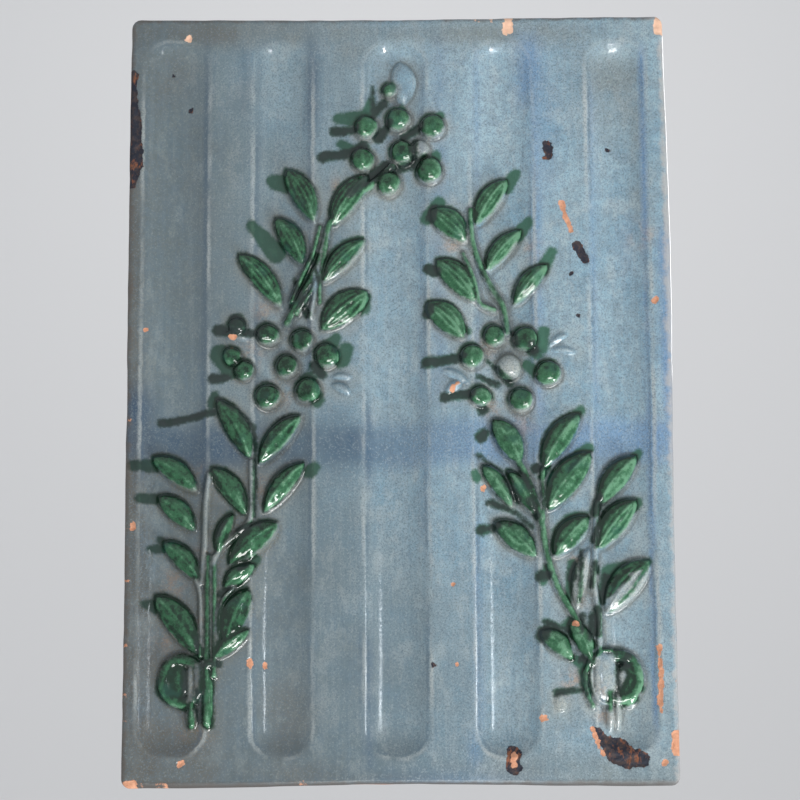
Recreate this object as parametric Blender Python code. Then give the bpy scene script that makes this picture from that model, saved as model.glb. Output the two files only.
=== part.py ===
"""Glazed earthenware stove tile: a fluted face with two berried sprays in relief, on a hollow collar.

The tile stands upright and looks along -Y. The collar's back rim lies in the plane y = 0, where the
tile is bedded into the stove, and the origin is on that rim, in the middle of its lower run.
"""

import math

import bmesh
import bpy
from mathutils import Vector

# Driving dimensions, in metres
TILE_WIDTH = 0.232
TILE_HEIGHT = 0.330
PLATE_THICKNESS = 0.012
PLATE_CORNER = 0.003
FACE_ROUNDING = 0.002
BACK_CHAMFER = 0.001
COLLAR_DEPTH = 0.048
COLLAR_INSET = 0.015
COLLAR_WALL = 0.010
COLLAR_CORNER = 0.016
COLLAR_FILLET = 0.006
RIM_ROUNDING = 0.002
FLUTE_DEPTH = 0.0034
LEAF_HEIGHT = 0.0042
BERRY_HEIGHT = 0.0052
STEM_HEIGHT = 0.0026

# How far the relief follows the flutes under it: 0 keeps its tops level, 1 sinks them fully.
GROUND_FOLLOW = 0.6

# The modeller's drawing: its width and height, and its centre line from the left edge.
# One unit is a millimetre on the tile at its own size, and the drawing grows with the tile.
DRAWING_WIDTH = 232
DRAWING_HEIGHT = 330
DRAWING_CENTRE = 115

# Flutes: left edge, right edge, lower end, upper end, and the radius of their ends
FLUTES = [
    (-108.5, -81, 13, 318, 11),
    (-61, -36.5, 13, 318, 10),
    (-14, 12.5, 12, 318, 11),
    (32, 58, 13, 318, 11),
    (82, 107, 14, 318, 10),
]

# Leaves: base across and up, tip across and up, width
LEFT_LEAVES = [
    (-35, 238, -47.5, 262, 10),
    (-40, 220, -52, 241, 10),
    (-49.5, 202, -68, 224.5, 10),
    (-28, 236, -12.5, 259, 11),
    (-32, 211, -13.5, 230.5, 9.5),
    (-32.5, 191, -12.5, 208, 13),
    (-62, 136, -76.5, 162, 10.5),
    (-58.5, 134, -41, 155, 9.5),
    (-63, 112, -78.5, 133, 10),
    (-56.5, 114, -39.5, 135, 9),
    (-84, 122.5, -103.5, 137.5, 9.5),
    (-85, 106.5, -101, 121, 9.5),
    (-82.5, 85, -98.5, 102, 9),
    (-83, 54, -101.5, 79.5, 12),
    (-71, 91, -50.5, 109.5, 11.5),
    (-73, 82, -60, 92, 8),
    (-72, 57, -62.5, 82, 12),
    (-77, 52.5, -62, 65, 8),
    (-75.5, 96, -69, 113.5, 7),
]
RIGHT_LEAVES = [
    (30, 229, 14.5, 243.5, 12),
    (33.5, 236, 47, 257, 9.5),
    (34, 203, 16.5, 221.5, 12),
    (37.5, 216, 53, 234.5, 8.5),
    (28.5, 187, 12.5, 203, 12),
    (49.5, 202, 64, 219, 8.5),
    (51.5, 134, 40, 153, 10.5),
    (47.5, 116, 35, 133.5, 7.5),
    (57, 112, 46, 131, 8),
    (57.5, 94.5, 40, 109.5, 10.5),
    (60.5, 131, 76.5, 155, 11),
    (62, 113.5, 81, 138.5, 13),
    (64.5, 94, 80, 111.5, 11.5),
    (83.5, 116, 100, 137, 10.5),
    (82.5, 97, 99.5, 118.5, 11.5),
    (86, 71, 104.5, 93, 12.5),
    (74, 73, 79.5, 98, 7),
    (72, 52, 58.5, 64, 9),
    (79.5, 51, 71, 68, 8.5),
]
# Small pointed leaves left in the ground glaze
BRACTS = [
    (3, 291, 1.5, 309.5, 10),
    (65, 182, 75.5, 181, 3),
    (64, 184, 72, 189, 3),
    (30, 168, 18.5, 174, 4),
    (28, 169, 20, 164, 4),
    (-28, 171, -19.5, 171, 3),
    (-28, 168, -20, 164, 4),
    (-63, 187, -74, 190, 4),
]

# Berries: centre across and up, radius
BERRIES = [
    (-13, 280, 4.9), (0.8, 283.8, 5), (15.5, 280, 5.2), (-14.5, 265.5, 5), (2.5, 269, 5.2),
    (14, 260.5, 5.5), (-3.5, 255.5, 4.9), (-3, 297, 3), (10, 270, 4),
    (-55, 189.5, 4.6), (-40.5, 187, 4.8), (-30, 180, 5.2), (-47, 176, 4.8), (-65, 174, 4.2),
    (-55, 163, 5.2), (-38, 165.5, 5.2), (-68, 193, 3.6), (-70, 180, 4),
    (41, 188.5, 4.6), (54, 187, 5), (31.5, 179.5, 5), (47, 175, 5), (63.5, 172, 5.4),
    (35, 162.5, 4.3), (52, 161, 5),
]

# Stems: width, then the points they run through
STEMS = [
    (3.0, [(-47, 195), (-41, 206), (-35, 216), (-31, 228), (-28.5, 238), (-20, 247), (-8, 257), (-2, 263)]),
    (2.2, [(-43, 199), (-36, 209), (-32, 219), (-30, 230)]),
    (3.2, [(-79.5, 27), (-79.6, 50), (-79.5, 72), (-79.5, 95)]),
    (2.4, [(-76.6, 46), (-76.6, 70), (-77, 95), (-74, 99), (-66, 106), (-61.5, 113), (-61.5, 135)]),
    (2.0, [(-82.5, 84), (-81, 100), (-80.6, 118), (-79, 130)]),
    (2.4, [(-86, 26), (-86, 36)]),
    (2.6, [(46.5, 190), (45, 201), (41, 208), (36, 218), (32, 230), (31.5, 243)]),
    (2.0, [(41, 200), (35, 203), (33, 212), (28, 224)]),
    (3.0, [(50, 136), (53, 130), (57, 120), (60, 108), (62, 95), (66, 82), (72, 71), (78, 60)]),
    (2.4, [(78, 60), (80, 52), (78, 43), (79.5, 34)]),
    (2.2, [(60.2, 103), (60.5, 120), (60.5, 131)]),
    (2.4, [(83, 52), (83, 70), (81, 84), (82, 97), (83, 117)]),
    (2.0, [(87, 27), (87, 40)]),
]

# Ribbon loops that tie the sprays: centre across and up, radius of the band's middle, band width
LOOPS = [
    (-90, 44, 7.8, 4.6),
    (91, 44.5, 7.8, 4.6),
]

# Places worked out from the dimensions
FACE_Y = -COLLAR_DEPTH - PLATE_THICKNESS
BACK_Y = -COLLAR_DEPTH
BOTTOM_Z = -(COLLAR_INSET + COLLAR_WALL / 2)
ROOT_DEPTH = (FLUTE_DEPTH + PLATE_THICKNESS) / 2
UNIT_ACROSS = TILE_WIDTH / DRAWING_WIDTH
UNIT_UP = TILE_HEIGHT / DRAWING_HEIGHT

# How finely the solids are faceted
CORNER_STEPS = 3
BERRY_SIDES = 9
LEAF_STATIONS = [0.0, 0.15, 0.42, 0.7, 0.9]
BRACT_STATIONS = [0.0, 0.35, 0.75]
SMALLEST_CORNER = 0.0003


def across(u):
    """World x of a place on the drawing."""
    return -TILE_WIDTH / 2 + (DRAWING_CENTRE + u) * UNIT_ACROSS


def up(v):
    """World z of a place on the drawing."""
    return BOTTOM_Z + v * UNIT_UP


def clear_scene():
    for thing in list(bpy.context.scene.objects):
        bpy.data.objects.remove(thing, do_unlink=True)


def principled(name, colour, roughness):
    material = bpy.data.materials.new(name)
    material.use_nodes = True
    shader = material.node_tree.nodes["Principled BSDF"]
    shader.inputs["Base Color"].default_value = (*colour, 1.0)
    shader.inputs["Roughness"].default_value = roughness
    shader.inputs["Metallic"].default_value = 0.0
    return material


def blue_glaze():
    return principled("blue_glaze", (0.22, 0.33, 0.41), 0.18)


def green_glaze():
    return principled("green_glaze", (0.03, 0.15, 0.07), 0.15)


def stack(name, rings, material):
    """A closed solid from rings of equally many points, joined in order and capped at both ends."""
    mesh = bpy.data.meshes.new(name)
    shape = bmesh.new()
    rows = [[shape.verts.new(point) for point in ring] for ring in rings]
    count = len(rings[0])
    for near, far in zip(rows, rows[1:]):
        for i in range(count):
            j = (i + 1) % count
            shape.faces.new((near[i], far[i], far[j], near[j]))
    shape.faces.new(rows[0])
    shape.faces.new(list(reversed(rows[-1])))
    bmesh.ops.recalc_face_normals(shape, faces=shape.faces)
    shape.to_mesh(mesh)
    shape.free()
    mesh.materials.append(material)
    return bpy.data.objects.new(name, mesh)


def guide(solid, collection):
    """Keep a solid only as an operand: it is drawn as wire and not rendered."""
    collection.objects.link(solid)
    solid.hide_render = True
    solid.display_type = "WIRE"


def rounded_ring(left, right, bottom, top, radius, y):
    """A rounded rectangle in a plane of constant y, anticlockwise from the front."""
    radius = max(radius, SMALLEST_CORNER)
    corners = [
        (right - radius, bottom + radius, -90),
        (right - radius, top - radius, 0),
        (left + radius, top - radius, 90),
        (left + radius, bottom + radius, 180),
    ]
    ring = []
    for x, z, start in corners:
        for step in range(CORNER_STEPS + 1):
            angle = math.radians(start + 90 * step / CORNER_STEPS)
            ring.append((x + radius * math.cos(angle), y, z + radius * math.sin(angle)))
    return ring


def plate_ring(inset, corner, y):
    """A ring that follows the tile's outline at a distance inside it."""
    half = TILE_WIDTH / 2 - inset
    return rounded_ring(-half, half, BOTTOM_Z + inset, BOTTOM_Z + TILE_HEIGHT - inset, corner, y)


def quarter(steps):
    """Cosine and sine of a quarter turn, from 0 to 90 degrees."""
    turns = [math.radians(90 * step / steps) for step in range(steps + 1)]
    return [(math.cos(turn), math.sin(turn)) for turn in turns]


def blank():
    """The plate and its collar before the flutes and the relief: rings from the face round to the hollow."""
    rings = []
    for cos, sin in reversed(quarter(2)):
        inset = FACE_ROUNDING * (1 - cos)
        rings.append(plate_ring(inset, PLATE_CORNER - inset, FACE_Y + FACE_ROUNDING * (1 - sin)))
    rings.append(plate_ring(0, PLATE_CORNER, BACK_Y - BACK_CHAMFER))
    rings.append(plate_ring(BACK_CHAMFER, PLATE_CORNER - BACK_CHAMFER, BACK_Y))
    for cos, sin in quarter(3):
        inset = COLLAR_INSET - COLLAR_FILLET * (1 - sin)
        rings.append(plate_ring(inset, COLLAR_CORNER, BACK_Y + COLLAR_FILLET * (1 - cos)))
    for cos, sin in quarter(2):
        inset = COLLAR_INSET + RIM_ROUNDING * (1 - cos)
        rings.append(plate_ring(inset, COLLAR_CORNER, RIM_ROUNDING * (sin - 1)))
    inner_corner = COLLAR_CORNER - COLLAR_WALL
    for cos, sin in reversed(quarter(2)):
        inset = COLLAR_INSET + COLLAR_WALL - RIM_ROUNDING * (1 - cos)
        rings.append(plate_ring(inset, inner_corner, RIM_ROUNDING * (sin - 1)))
    for cos, sin in reversed(quarter(3)):
        inset = COLLAR_INSET + COLLAR_WALL + COLLAR_FILLET * (1 - sin)
        rings.append(plate_ring(inset, inner_corner, BACK_Y + COLLAR_FILLET * (1 - cos)))
    return stack("tile", rings, blue_glaze())


def flute_frame(flute):
    """A flute's edges in metres, with the radius of its ends."""
    left, right, lower, upper, radius = flute
    return across(left), across(right), up(lower), up(upper), radius * UNIT_ACROSS


def hollow_depth(inside, half):
    """How deep a flute is at a distance inside its edge: a round channel."""
    share = min(inside / half, 1)
    return FLUTE_DEPTH * (1 - (1 - share) ** 2)


def ground(x, z):
    """Height of the fluted face over its frame, at most 0."""
    depth = 0
    for flute in FLUTES:
        left, right, lower, upper, radius = flute_frame(flute)
        half = (right - left) / 2
        dx = abs(x - (left + right) / 2) - half + radius
        dz = abs(z - (lower + upper) / 2) - (upper - lower) / 2 + radius
        inside = radius - math.hypot(max(dx, 0), max(dz, 0)) - min(max(dx, dz), 0)
        if inside > 0:
            depth = max(depth, hollow_depth(inside, half))
    return -depth


def flute_cutter(index, flute, material):
    left, right, lower, upper, radius = flute_frame(flute)
    half = (right - left) / 2
    rings = []
    for share in (-0.12, 0.12, 0.35, 0.65, 0.97):
        inset = share * half
        y = FACE_Y + FLUTE_DEPTH * (1 - (1 - share) ** 2)
        sides = (left + inset, right - inset, lower + inset, upper - inset)
        rings.append(rounded_ring(*sides, radius - inset, y))
    return stack(f"flute_{index}", rings, material)


def relief_point(x, z, height):
    """A point of the relief at a height over the ground it follows."""
    return (x, FACE_Y - GROUND_FOLLOW * ground(x, z) - height, z)


def root_point(x, z):
    return (x, FACE_Y + ROOT_DEPTH, z)


def leaf_half_width(t):
    """Half width along a leaf from base to tip, as a share of its greatest half width."""
    return math.sin(math.pi * t ** 1.1) ** 0.7


def leaf(name, row, height, stations, material):
    """A leaf from nested outlines: its walls, its rim, its crown and the crease of its midrib."""
    base_u, base_v, tip_u, tip_v, width = row
    base = Vector((across(base_u), up(base_v)))
    tip = Vector((across(tip_u), up(tip_v)))
    half = width * UNIT_ACROSS / 2
    side = (tip - base).orthogonal().normalized() * half
    outline = [(t, leaf_half_width(t)) for t in stations] + [(1.0, 0.0)]
    outline += [(t, -leaf_half_width(t)) for t in reversed(stations[1:])]

    def ring(spread, length, make):
        points = []
        for t, offset in outline:
            along = 0.5 + (t - 0.5) * length
            place = base.lerp(tip, along) + side * offset * spread
            points.append(make(place.x, place.y))
        return points

    rings = [
        ring(1.0, 1.0, root_point),
        ring(1.0, 1.0, lambda x, z: relief_point(x, z, 0.45 * height)),
        ring(0.62, 0.86, lambda x, z: relief_point(x, z, height)),
        ring(0.06, 0.76, lambda x, z: relief_point(x, z, 0.72 * height)),
    ]
    return stack(name, rings, material)


def berry(name, row, material):
    """A berry as a dome on a short upright wall."""
    u, v, radius = row
    x = across(u)
    z = up(v)
    r = radius * UNIT_ACROSS
    tall = BERRY_HEIGHT * min(radius / 5, 1)
    low = FACE_Y - GROUND_FOLLOW * ground(x, z)
    rings = []
    levels = [(1.0, FACE_Y + ROOT_DEPTH), (1.0, low - 0.3 * tall), (0.84, low - 0.68 * tall),
              (0.5, low - 0.92 * tall), (0.12, low - tall)]
    for share, y in levels:
        turns = [math.tau * i / BERRY_SIDES for i in range(BERRY_SIDES)]
        rings.append([(x + r * share * math.cos(a), y, z + r * share * math.sin(a)) for a in turns])
    return stack(name, rings, material)


def smooth_path(points, steps):
    """Points on a smooth curve through the given ones, several for each stretch."""
    ends = [points[0] * 2 - points[1]] + points + [points[-1] * 2 - points[-2]]
    path = []
    for a, b, c, d in zip(ends, ends[1:], ends[2:], ends[3:]):
        for step in range(steps):
            t = step / steps
            path.append(0.5 * (2 * b + (c - a) * t + (2 * a - 5 * b + 4 * c - d) * t ** 2
                               + (3 * b - a - 3 * c + d) * t ** 3))
    return path + [points[-1]]


def strand(name, path, width, height, material):
    """A rounded strand laid along a path, with its foot in the plate."""
    rings = []
    for i, place in enumerate(path):
        ahead = path[min(i + 1, len(path) - 1)] - path[max(i - 1, 0)]
        side = ahead.orthogonal().normalized() * width / 2
        left = place - side
        right = place + side
        rings.append([
            root_point(left.x, left.y),
            relief_point(left.x, left.y, 0.3 * height),
            relief_point(place.x, place.y, height),
            relief_point(right.x, right.y, 0.3 * height),
            root_point(right.x, right.y),
        ])
    return stack(name, rings, material)


def stem(name, row, material):
    width, points = row
    path = smooth_path([Vector((across(u), up(v))) for u, v in points], 2)
    return strand(name, path, width * UNIT_ACROSS, STEM_HEIGHT, material)


def loop_halves(name, row, material):
    """A ribbon loop as two overlapping arcs."""
    u, v, radius, width = row
    centre = Vector((across(u), up(v)))
    for half, start in (("a", -5), ("b", 175)):
        path = []
        for step in range(7):
            angle = math.radians(start + 190 * step / 6)
            path.append(centre + Vector((math.cos(angle), math.sin(angle))) * radius * UNIT_ACROSS)
        yield strand(f"{name}_{half}", path, width * UNIT_ACROSS, STEM_HEIGHT, material)


def relief_solids():
    """Every leaf, berry, stem and loop of the two sprays."""
    green = green_glaze()
    for i, row in enumerate(LEFT_LEAVES + RIGHT_LEAVES):
        yield leaf(f"leaf_{i}", row, LEAF_HEIGHT, LEAF_STATIONS, green)
    for i, row in enumerate(BRACTS):
        yield leaf(f"bract_{i}", row, STEM_HEIGHT, BRACT_STATIONS, green)
    for i, row in enumerate(BERRIES):
        yield berry(f"berry_{i}", row, green)
    for i, row in enumerate(STEMS):
        yield stem(f"stem_{i}", row, green)
    for i, row in enumerate(LOOPS):
        yield from loop_halves(f"loop_{i}", row, green)


def apply_boolean(solid, operation, collection):
    modifier = solid.modifiers.new(operation.lower(), "BOOLEAN")
    modifier.operation = operation
    modifier.operand_type = "COLLECTION"
    modifier.collection = collection
    modifier.solver = "EXACT"
    modifier.material_mode = "TRANSFER"


def main():
    clear_scene()
    scene = bpy.context.scene.collection
    cutters = bpy.data.collections.new("flute_cutters")
    relief = bpy.data.collections.new("relief")
    scene.children.link(cutters)
    scene.children.link(relief)
    tile = blank()
    scene.objects.link(tile)
    ground_glaze = tile.data.materials[0]
    for index, flute in enumerate(FLUTES):
        guide(flute_cutter(index, flute, ground_glaze), cutters)
    for solid in relief_solids():
        guide(solid, relief)
    apply_boolean(tile, "DIFFERENCE", cutters)
    apply_boolean(tile, "UNION", relief)


main()
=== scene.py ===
"""Looks of the glazed stove tile: one finely modelled skin in place of the plain solid."""
import math

import bpy
import numpy as np
from mathutils import Matrix, Vector

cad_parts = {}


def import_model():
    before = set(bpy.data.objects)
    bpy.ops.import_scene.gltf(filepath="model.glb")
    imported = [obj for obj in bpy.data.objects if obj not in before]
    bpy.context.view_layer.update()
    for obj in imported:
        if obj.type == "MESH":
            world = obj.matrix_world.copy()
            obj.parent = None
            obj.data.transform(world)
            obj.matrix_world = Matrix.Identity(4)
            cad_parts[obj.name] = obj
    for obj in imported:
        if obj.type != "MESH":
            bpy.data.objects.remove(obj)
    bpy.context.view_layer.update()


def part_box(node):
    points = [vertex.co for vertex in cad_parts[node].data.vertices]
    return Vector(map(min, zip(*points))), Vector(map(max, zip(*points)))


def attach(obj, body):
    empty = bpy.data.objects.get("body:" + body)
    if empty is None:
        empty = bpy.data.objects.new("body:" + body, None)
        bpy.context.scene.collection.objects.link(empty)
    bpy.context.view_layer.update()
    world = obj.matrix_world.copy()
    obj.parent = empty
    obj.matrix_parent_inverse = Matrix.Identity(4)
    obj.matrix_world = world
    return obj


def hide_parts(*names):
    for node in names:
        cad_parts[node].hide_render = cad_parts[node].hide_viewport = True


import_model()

TILE_LOW, TILE_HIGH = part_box("tile")

MM = 0.001

# The tile's build, in millimetres. The plate, the collar and the flutes are the solid's. The
# collar's rim is a little rounder, and the relief a little lower, because the glaze adds to it.
WIDTH = (TILE_HIGH.x - TILE_LOW.x) / MM
HEIGHT = (TILE_HIGH.z - TILE_LOW.z) / MM
PLATE = 12.0
COLLAR_DEPTH = 48.0
COLLAR_INSET = 15.0
COLLAR_WALL = 10.0
COLLAR_CORNER = 16.0
COLLAR_FILLET = 6.0
RIM_ROUNDING = 3.0
FACE_ROUNDING = 2.0
PLATE_CORNER = 3.0
FLUTE_DEPTH = 3.4
LEAF_HEIGHT = 3.9
BERRY_HEIGHT = 4.9
STEM_HEIGHT = 2.4
# How much of the ground's own ups and downs the relief follows
GROUND_FOLLOW = 0.6
# A leaf's steep edge as a share of its height, and its midrib's bow as a share of its length
LEAF_EDGE = 0.32
LEAF_BOW = 0.055
# A leaf's raised lip, its midrib, its veins and its grooves, and the veins on each side of the midrib
LEAF_LIP = {"veined": 0.22, "plain": 0.10, "bare": 0.10}
MIDRIB = 0.22
VEIN = 0.32
GROOVE = 0.20
VEINS_A_SIDE = 2.6
# The pressed moat round a berry and the low ring round that
MOAT, MOAT_RING = 0.22, 0.13
# How steeply the relief falls off outside its outline, in millimetres a millimetre
EDGE_SLOPE = 2.6
# How softly the glaze fills the crease beside the relief
CREASE = 0.35
# How thick the painting lies, and how deep a chip is
SMEAR_THICKNESS, STROKE_THICKNESS, CHIP_DEPTH = 0.12, 0.3, 0.9
# How far the green slipped from the leaves and the berries, to the left and upwards
PAINT_SLIP = (0.4, 0.8)
BERRY_SLIP = (0.6, 1.0)

# The face is drawn in millimetres: across from the drawing's centre line, up from the bottom edge.
CENTRE_LINE = 115.0
LEFT_SIDE = -CENTRE_LINE
RIGHT_SIDE = WIDTH - CENTRE_LINE

# How finely the skin is meshed: the smallest cell on the face, in millimetres
CELL = 0.56
# How near to the relief, the chips and the edges of paint the cells are fine, and how near medium
FINE_AT_RELIEF, FINE_AT_CHIPS = 1.3, 0.9
MEDIUM_AT_RELIEF, MEDIUM_AT_CHIPS, MEDIUM_AT_PAINT = 2.2, 2.0, 0.9
RELAX_ROUNDS = 3
# Spacing of the raster on which the hollows are found
RASTER = 0.7
# Distances to the painting are kept up to this far
FAR = 6.0

# Points along the back's rings: across, up and round each corner
RING_ACROSS, RING_UP, RING_CORNER = 30, 44, 7
# Rings on the plate's side, behind the face, and on the hollow's floor
SIDE_RINGS = (4.5, 7.5, 10.0)
FLOOR_RINGS = 12
FLOOR_STEP = 6.4

# Flutes: left edge, right edge, lower end, upper end, and the radius of their ends
FLUTES = [
    (-108.5, -81, 13, 318, 11), (-61, -36.5, 13, 318, 10), (-14, 12.5, 12, 318, 11), (32, 58, 13, 318, 11),
    (82, 107, 14, 318, 10),
]

# Leaves: base across and up, tip across and up, width
VEINED_LEAVES = [
    (-35, 238, -47.5, 262, 10.5), (-40, 220, -52, 241, 10), (-49.5, 202, -68, 224.5, 10),
    (-28, 236, -12.5, 259, 11), (-32, 211, -13.5, 230.5, 9.5), (-32.5, 191, -12.5, 208, 13),
    (30, 229, 14.5, 243.5, 12), (33.5, 236, 47, 257, 9.5), (34, 203, 16.5, 221.5, 12),
    (37.5, 216, 53, 234.5, 8.5), (28.5, 187, 12.5, 203, 12), (49.5, 202, 64, 219, 8.5),
    (82.5, 97, 99.5, 118.5, 11.5),
]
PLAIN_LEAVES = [
    (-62, 136, -76.5, 162, 10.5), (-58.5, 134, -41, 155, 9.5), (-63, 112, -78.5, 133, 10),
    (-56.5, 114, -39.5, 135, 9), (-84, 122.5, -103.5, 137.5, 9.5), (-85, 106.5, -101, 121, 9.5),
    (-82.5, 85, -98.5, 102, 9), (-83, 54, -101.5, 79.5, 12), (-71, 91, -50.5, 109.5, 11.5),
    (-73, 82, -60, 92, 8), (-72, 57, -62.5, 82, 12), (-77, 52.5, -62, 65, 8), (-75.5, 96, -69, 113.5, 7),
    (51.5, 134, 40, 153, 10.5), (47.5, 116, 35, 133.5, 7.5), (57, 112, 46, 131, 8),
    (57.5, 94.5, 40, 109.5, 10.5), (60.5, 131, 76.5, 155, 11), (62, 113.5, 81, 138.5, 13),
    (64.5, 94, 80, 111.5, 11.5), (83.5, 116, 100, 137, 10.5), (72, 52, 58.5, 64, 9), (79.5, 51, 71, 68, 8.5),
]
# Leaves on which the green has missed the relief
BARE_LEAVES = [
    (86, 71, 104.5, 93, 12.5), (74, 73, 79.5, 98, 7),
]
# Small pointed leaves left in the ground glaze
BRACTS = [
    (3, 291, 1.5, 309.5, 10), (65, 182, 75.5, 181, 3), (64, 184, 72, 189, 3), (30, 168, 18.5, 174, 4),
    (28, 169, 20, 164, 4), (-28, 171, -19.5, 171, 3), (-28, 168, -20, 164, 4), (-63, 187, -74, 190, 4),
]

# Berries: centre across and up, radius
BERRIES = [
    (-13, 280, 4.9), (0.8, 283.8, 5), (15.5, 280, 5.2), (-14.5, 265.5, 5), (2.5, 269, 5.2), (14, 260.5, 5.5),
    (-3.5, 255.5, 4.9), (-3, 297, 3), (-55, 189.5, 4.6), (-40.5, 187, 4.8), (-30, 180, 5.2), (-47, 176, 4.8),
    (-65, 174, 4.2), (-55, 163, 5.2), (-38, 165.5, 5.2), (-68, 193, 3.6), (-70, 180, 4), (41, 188.5, 4.6),
    (54, 187, 5), (31.5, 179.5, 5), (63.5, 172, 5.4), (35, 162.5, 4.3), (52, 161, 5),
]
BARE_BERRIES = [(10, 270, 4), (47, 175, 5)]

# Stems: width, whether the green was brushed along them, then the points they run through
STEMS = [
    (3, True, [
        (-47, 195), (-41, 206), (-35, 216), (-31, 228), (-28.5, 238), (-20, 247), (-8, 257), (-2, 263)]),
    (2.2, True, [(-43, 199), (-36, 209), (-32, 219), (-30, 230)]),
    (2, True, [(-45, 204), (-41, 214), (-36, 224), (-33, 236)]),
    (1.8, False, [(-37, 197), (-35, 207), (-34, 218), (-30, 232)]),
    (1.8, True, [(-33, 203), (-33, 211), (-32, 220), (-29.5, 234)]),
    (3.2, True, [(-79.5, 27), (-79.6, 50), (-79.5, 72), (-79.5, 95)]),
    (2.4, True, [(-76.6, 46), (-76.6, 70), (-77, 95)]),
    (1.8, False, [(-82.3, 54), (-82.2, 68), (-82.6, 80), (-84.5, 86)]),
    (1.8, False, [(-75, 58), (-74.8, 70), (-73, 77), (-69, 82)]),
    (2.4, False, [(-77, 93), (-74, 99), (-66, 106), (-61.5, 113), (-61.5, 135)]),
    (2.4, False, [(-82.5, 84), (-81, 100), (-80.6, 118), (-79, 130)]),
    (2.4, True, [(-86, 26), (-86, 36)]),
    (2.6, True, [(46.5, 190), (45, 201), (41, 208), (36, 218), (32, 230), (31.5, 243)]),
    (2, True, [(41, 200), (35, 203), (33, 212), (28, 224)]),
    (3, True, [(50, 136), (53, 130), (57, 120), (60, 108), (62, 95), (66, 82), (72, 71), (78, 60)]),
    (2.2, True, [(78, 60), (79.5, 53), (76.8, 46), (77.4, 39), (79.6, 33)]),
    (1.4, False, [(88, 55.6), (83.2, 54.8), (80, 50), (79.2, 44), (80.2, 38.5), (83, 34.6), (87, 33.6)]),
    (2.2, True, [(60.2, 103), (60.5, 120), (60.5, 131)]),
    (2.4, False, [(83, 52), (83, 70), (81, 84), (82, 97), (83, 117)]),
    (2, False, [(87, 27), (87, 40)]),
]
# Ribbon loops: centre across and up, radius of the band's middle, band width
LOOPS = [(-90, 44, 7.8, 4.6), (91, 44.5, 7.8, 4.6)]
# Folds of ribbon inside the loops: centre across and up, half width, half height, rise, and
# whether the green missed them
FOLDS = [
    (-92.5, 43.5, 5, 8.8, 2.2, False), (-86.6, 43, 1.5, 7.6, 2.4, True), (-84, 43.5, 1.1, 5.6, 2, True),
    (-79, 37, 2.4, 12, 2.4, False), (-79, 51, 3.4, 2.4, 2.6, False), (-86, 30, 2.2, 5.5, 1.8, False),
    (94.6, 42, 4.8, 8.8, 2.3, False), (85.2, 44.4, 5, 10.4, 3.2, True), (80, 51, 2.6, 2.6, 2.4, False),
    (87, 30, 1.6, 6, 1.9, True), (90.2, 31, 1.2, 5, 1.6, True), (66.5, 34, 2.4, 3.4, 0.9, True),
]

# Painting. Strokes: from across and up, to across and up, half width at each end
GREEN_SMEARS = [
    (-46, 256, -53, 257, 4.5, 3.2), (-52, 226, -62, 237, 4.5, 2.4), (-37, 131, -35, 133, 3, 2.2),
    (-15, 284, -25, 284, 3.5, 2.4), (-13, 284, -11, 292, 2.6, 1.6), (-22, 183, -24, 179, 3.2, 4),
    (-70, 176, -75, 181, 5.5, 4.6), (-17, 268, -24, 273, 3.5, 1.8), (62, 190, 60, 184, 2.4, 4),
    (47, 254, 51, 260, 3.2, 2.2), (51, 232, 56, 238, 3.2, 2.4), (62, 217, 66, 225, 3.2, 2),
    (97, 134, 101, 138, 3.2, 2), (76, 136, 80, 140, 3.4, 2.4), (96, 114, 100, 117, 3.2, 2.4),
    (73, 152, 77, 156, 3.2, 2), (-15, 201, -13, 206, 3.4, 1.8), (-102, 134, -112, 134, 2.8, 2.2),
    (-101, 120, -109, 120, 2.4, 2), (-98, 99, -104, 99, 2, 1.6), (-101, 75, -106, 76, 3.4, 1.6),
    (33, 128, 32, 130, 2, 1.6), (88, 88, 104, 92, 3.6, 1.8), (85, 82, 90, 89, 2.2, 3),
    (60, 128, 63, 132, 1.6, 1.6), (-78, 160, -77, 164, 2.6, 1.6), (16, 283, 19, 285, 3, 1.8),
    (15, 262, 17, 268, 4, 1.8), (0, 286, 2, 288, 3.5, 2.4), (34, 163, 38, 163, 3.6, 2.6),
    (-38, 169, -34, 161, 4.5, 3), (-30, 182, -26, 188, 5, 2), (54, 189, 59, 180, 4.4, 2.4),
    (55, 176, 62, 170, 2.4, 3), (13, 240, 18, 246, 3, 3), (-96, 50, -99, 40, 2.6, 2.6),
    (-97, 38, -88, 33, 2.6, 2), (-92, 52, -84, 53, 2.8, 1.8), (-92, 37, -92, 50, 3.4, 3.4),
    (-79, 26, -79, 50, 2.6, 2.6), (-86, 26, -86, 34, 1.8, 1.6), (92, 52, 97, 46, 2.6, 2.6),
    (98, 48, 99, 40, 2.2, 2.2), (93, 38, 96, 44, 2.6, 2.6), (92, 33, 97, 36, 1.2, 2),
    (76, 47, 78, 38, 2, 1.8), (87, 32, 87, 38, 1.2, 1.4), (70, 74, 72, 92, 1.4, 1.6),
    (62, 90, 60, 84, 2.2, 1.6), (-80, 30, -78, 50, 1.8, 2.2), (-86, 60, -80, 54, 2, 2.2),
    (70, 66, 79, 58, 2.4, 3), (64, 57, 76, 50, 1.6, 2), (79, 52, 76, 42, 2, 1.6), (-60, 94, -66, 84, 2.4, 2),
    (-100, 103, -97, 100, 1.6, 2), (25, 196, 30, 190, 2, 1.4), (88, 71.5, 97, 80.5, 0.5, 0.7),
    (97, 80.5, 103, 90, 0.7, 1), (86, 79, 94, 86, 2, 2.4), (80, 53, 84, 56, 1.4, 1), (84, 56, 92, 55, 1, 1.6),
    (-44, 202, -35, 223, 2.4, 2.6),
]
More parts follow.
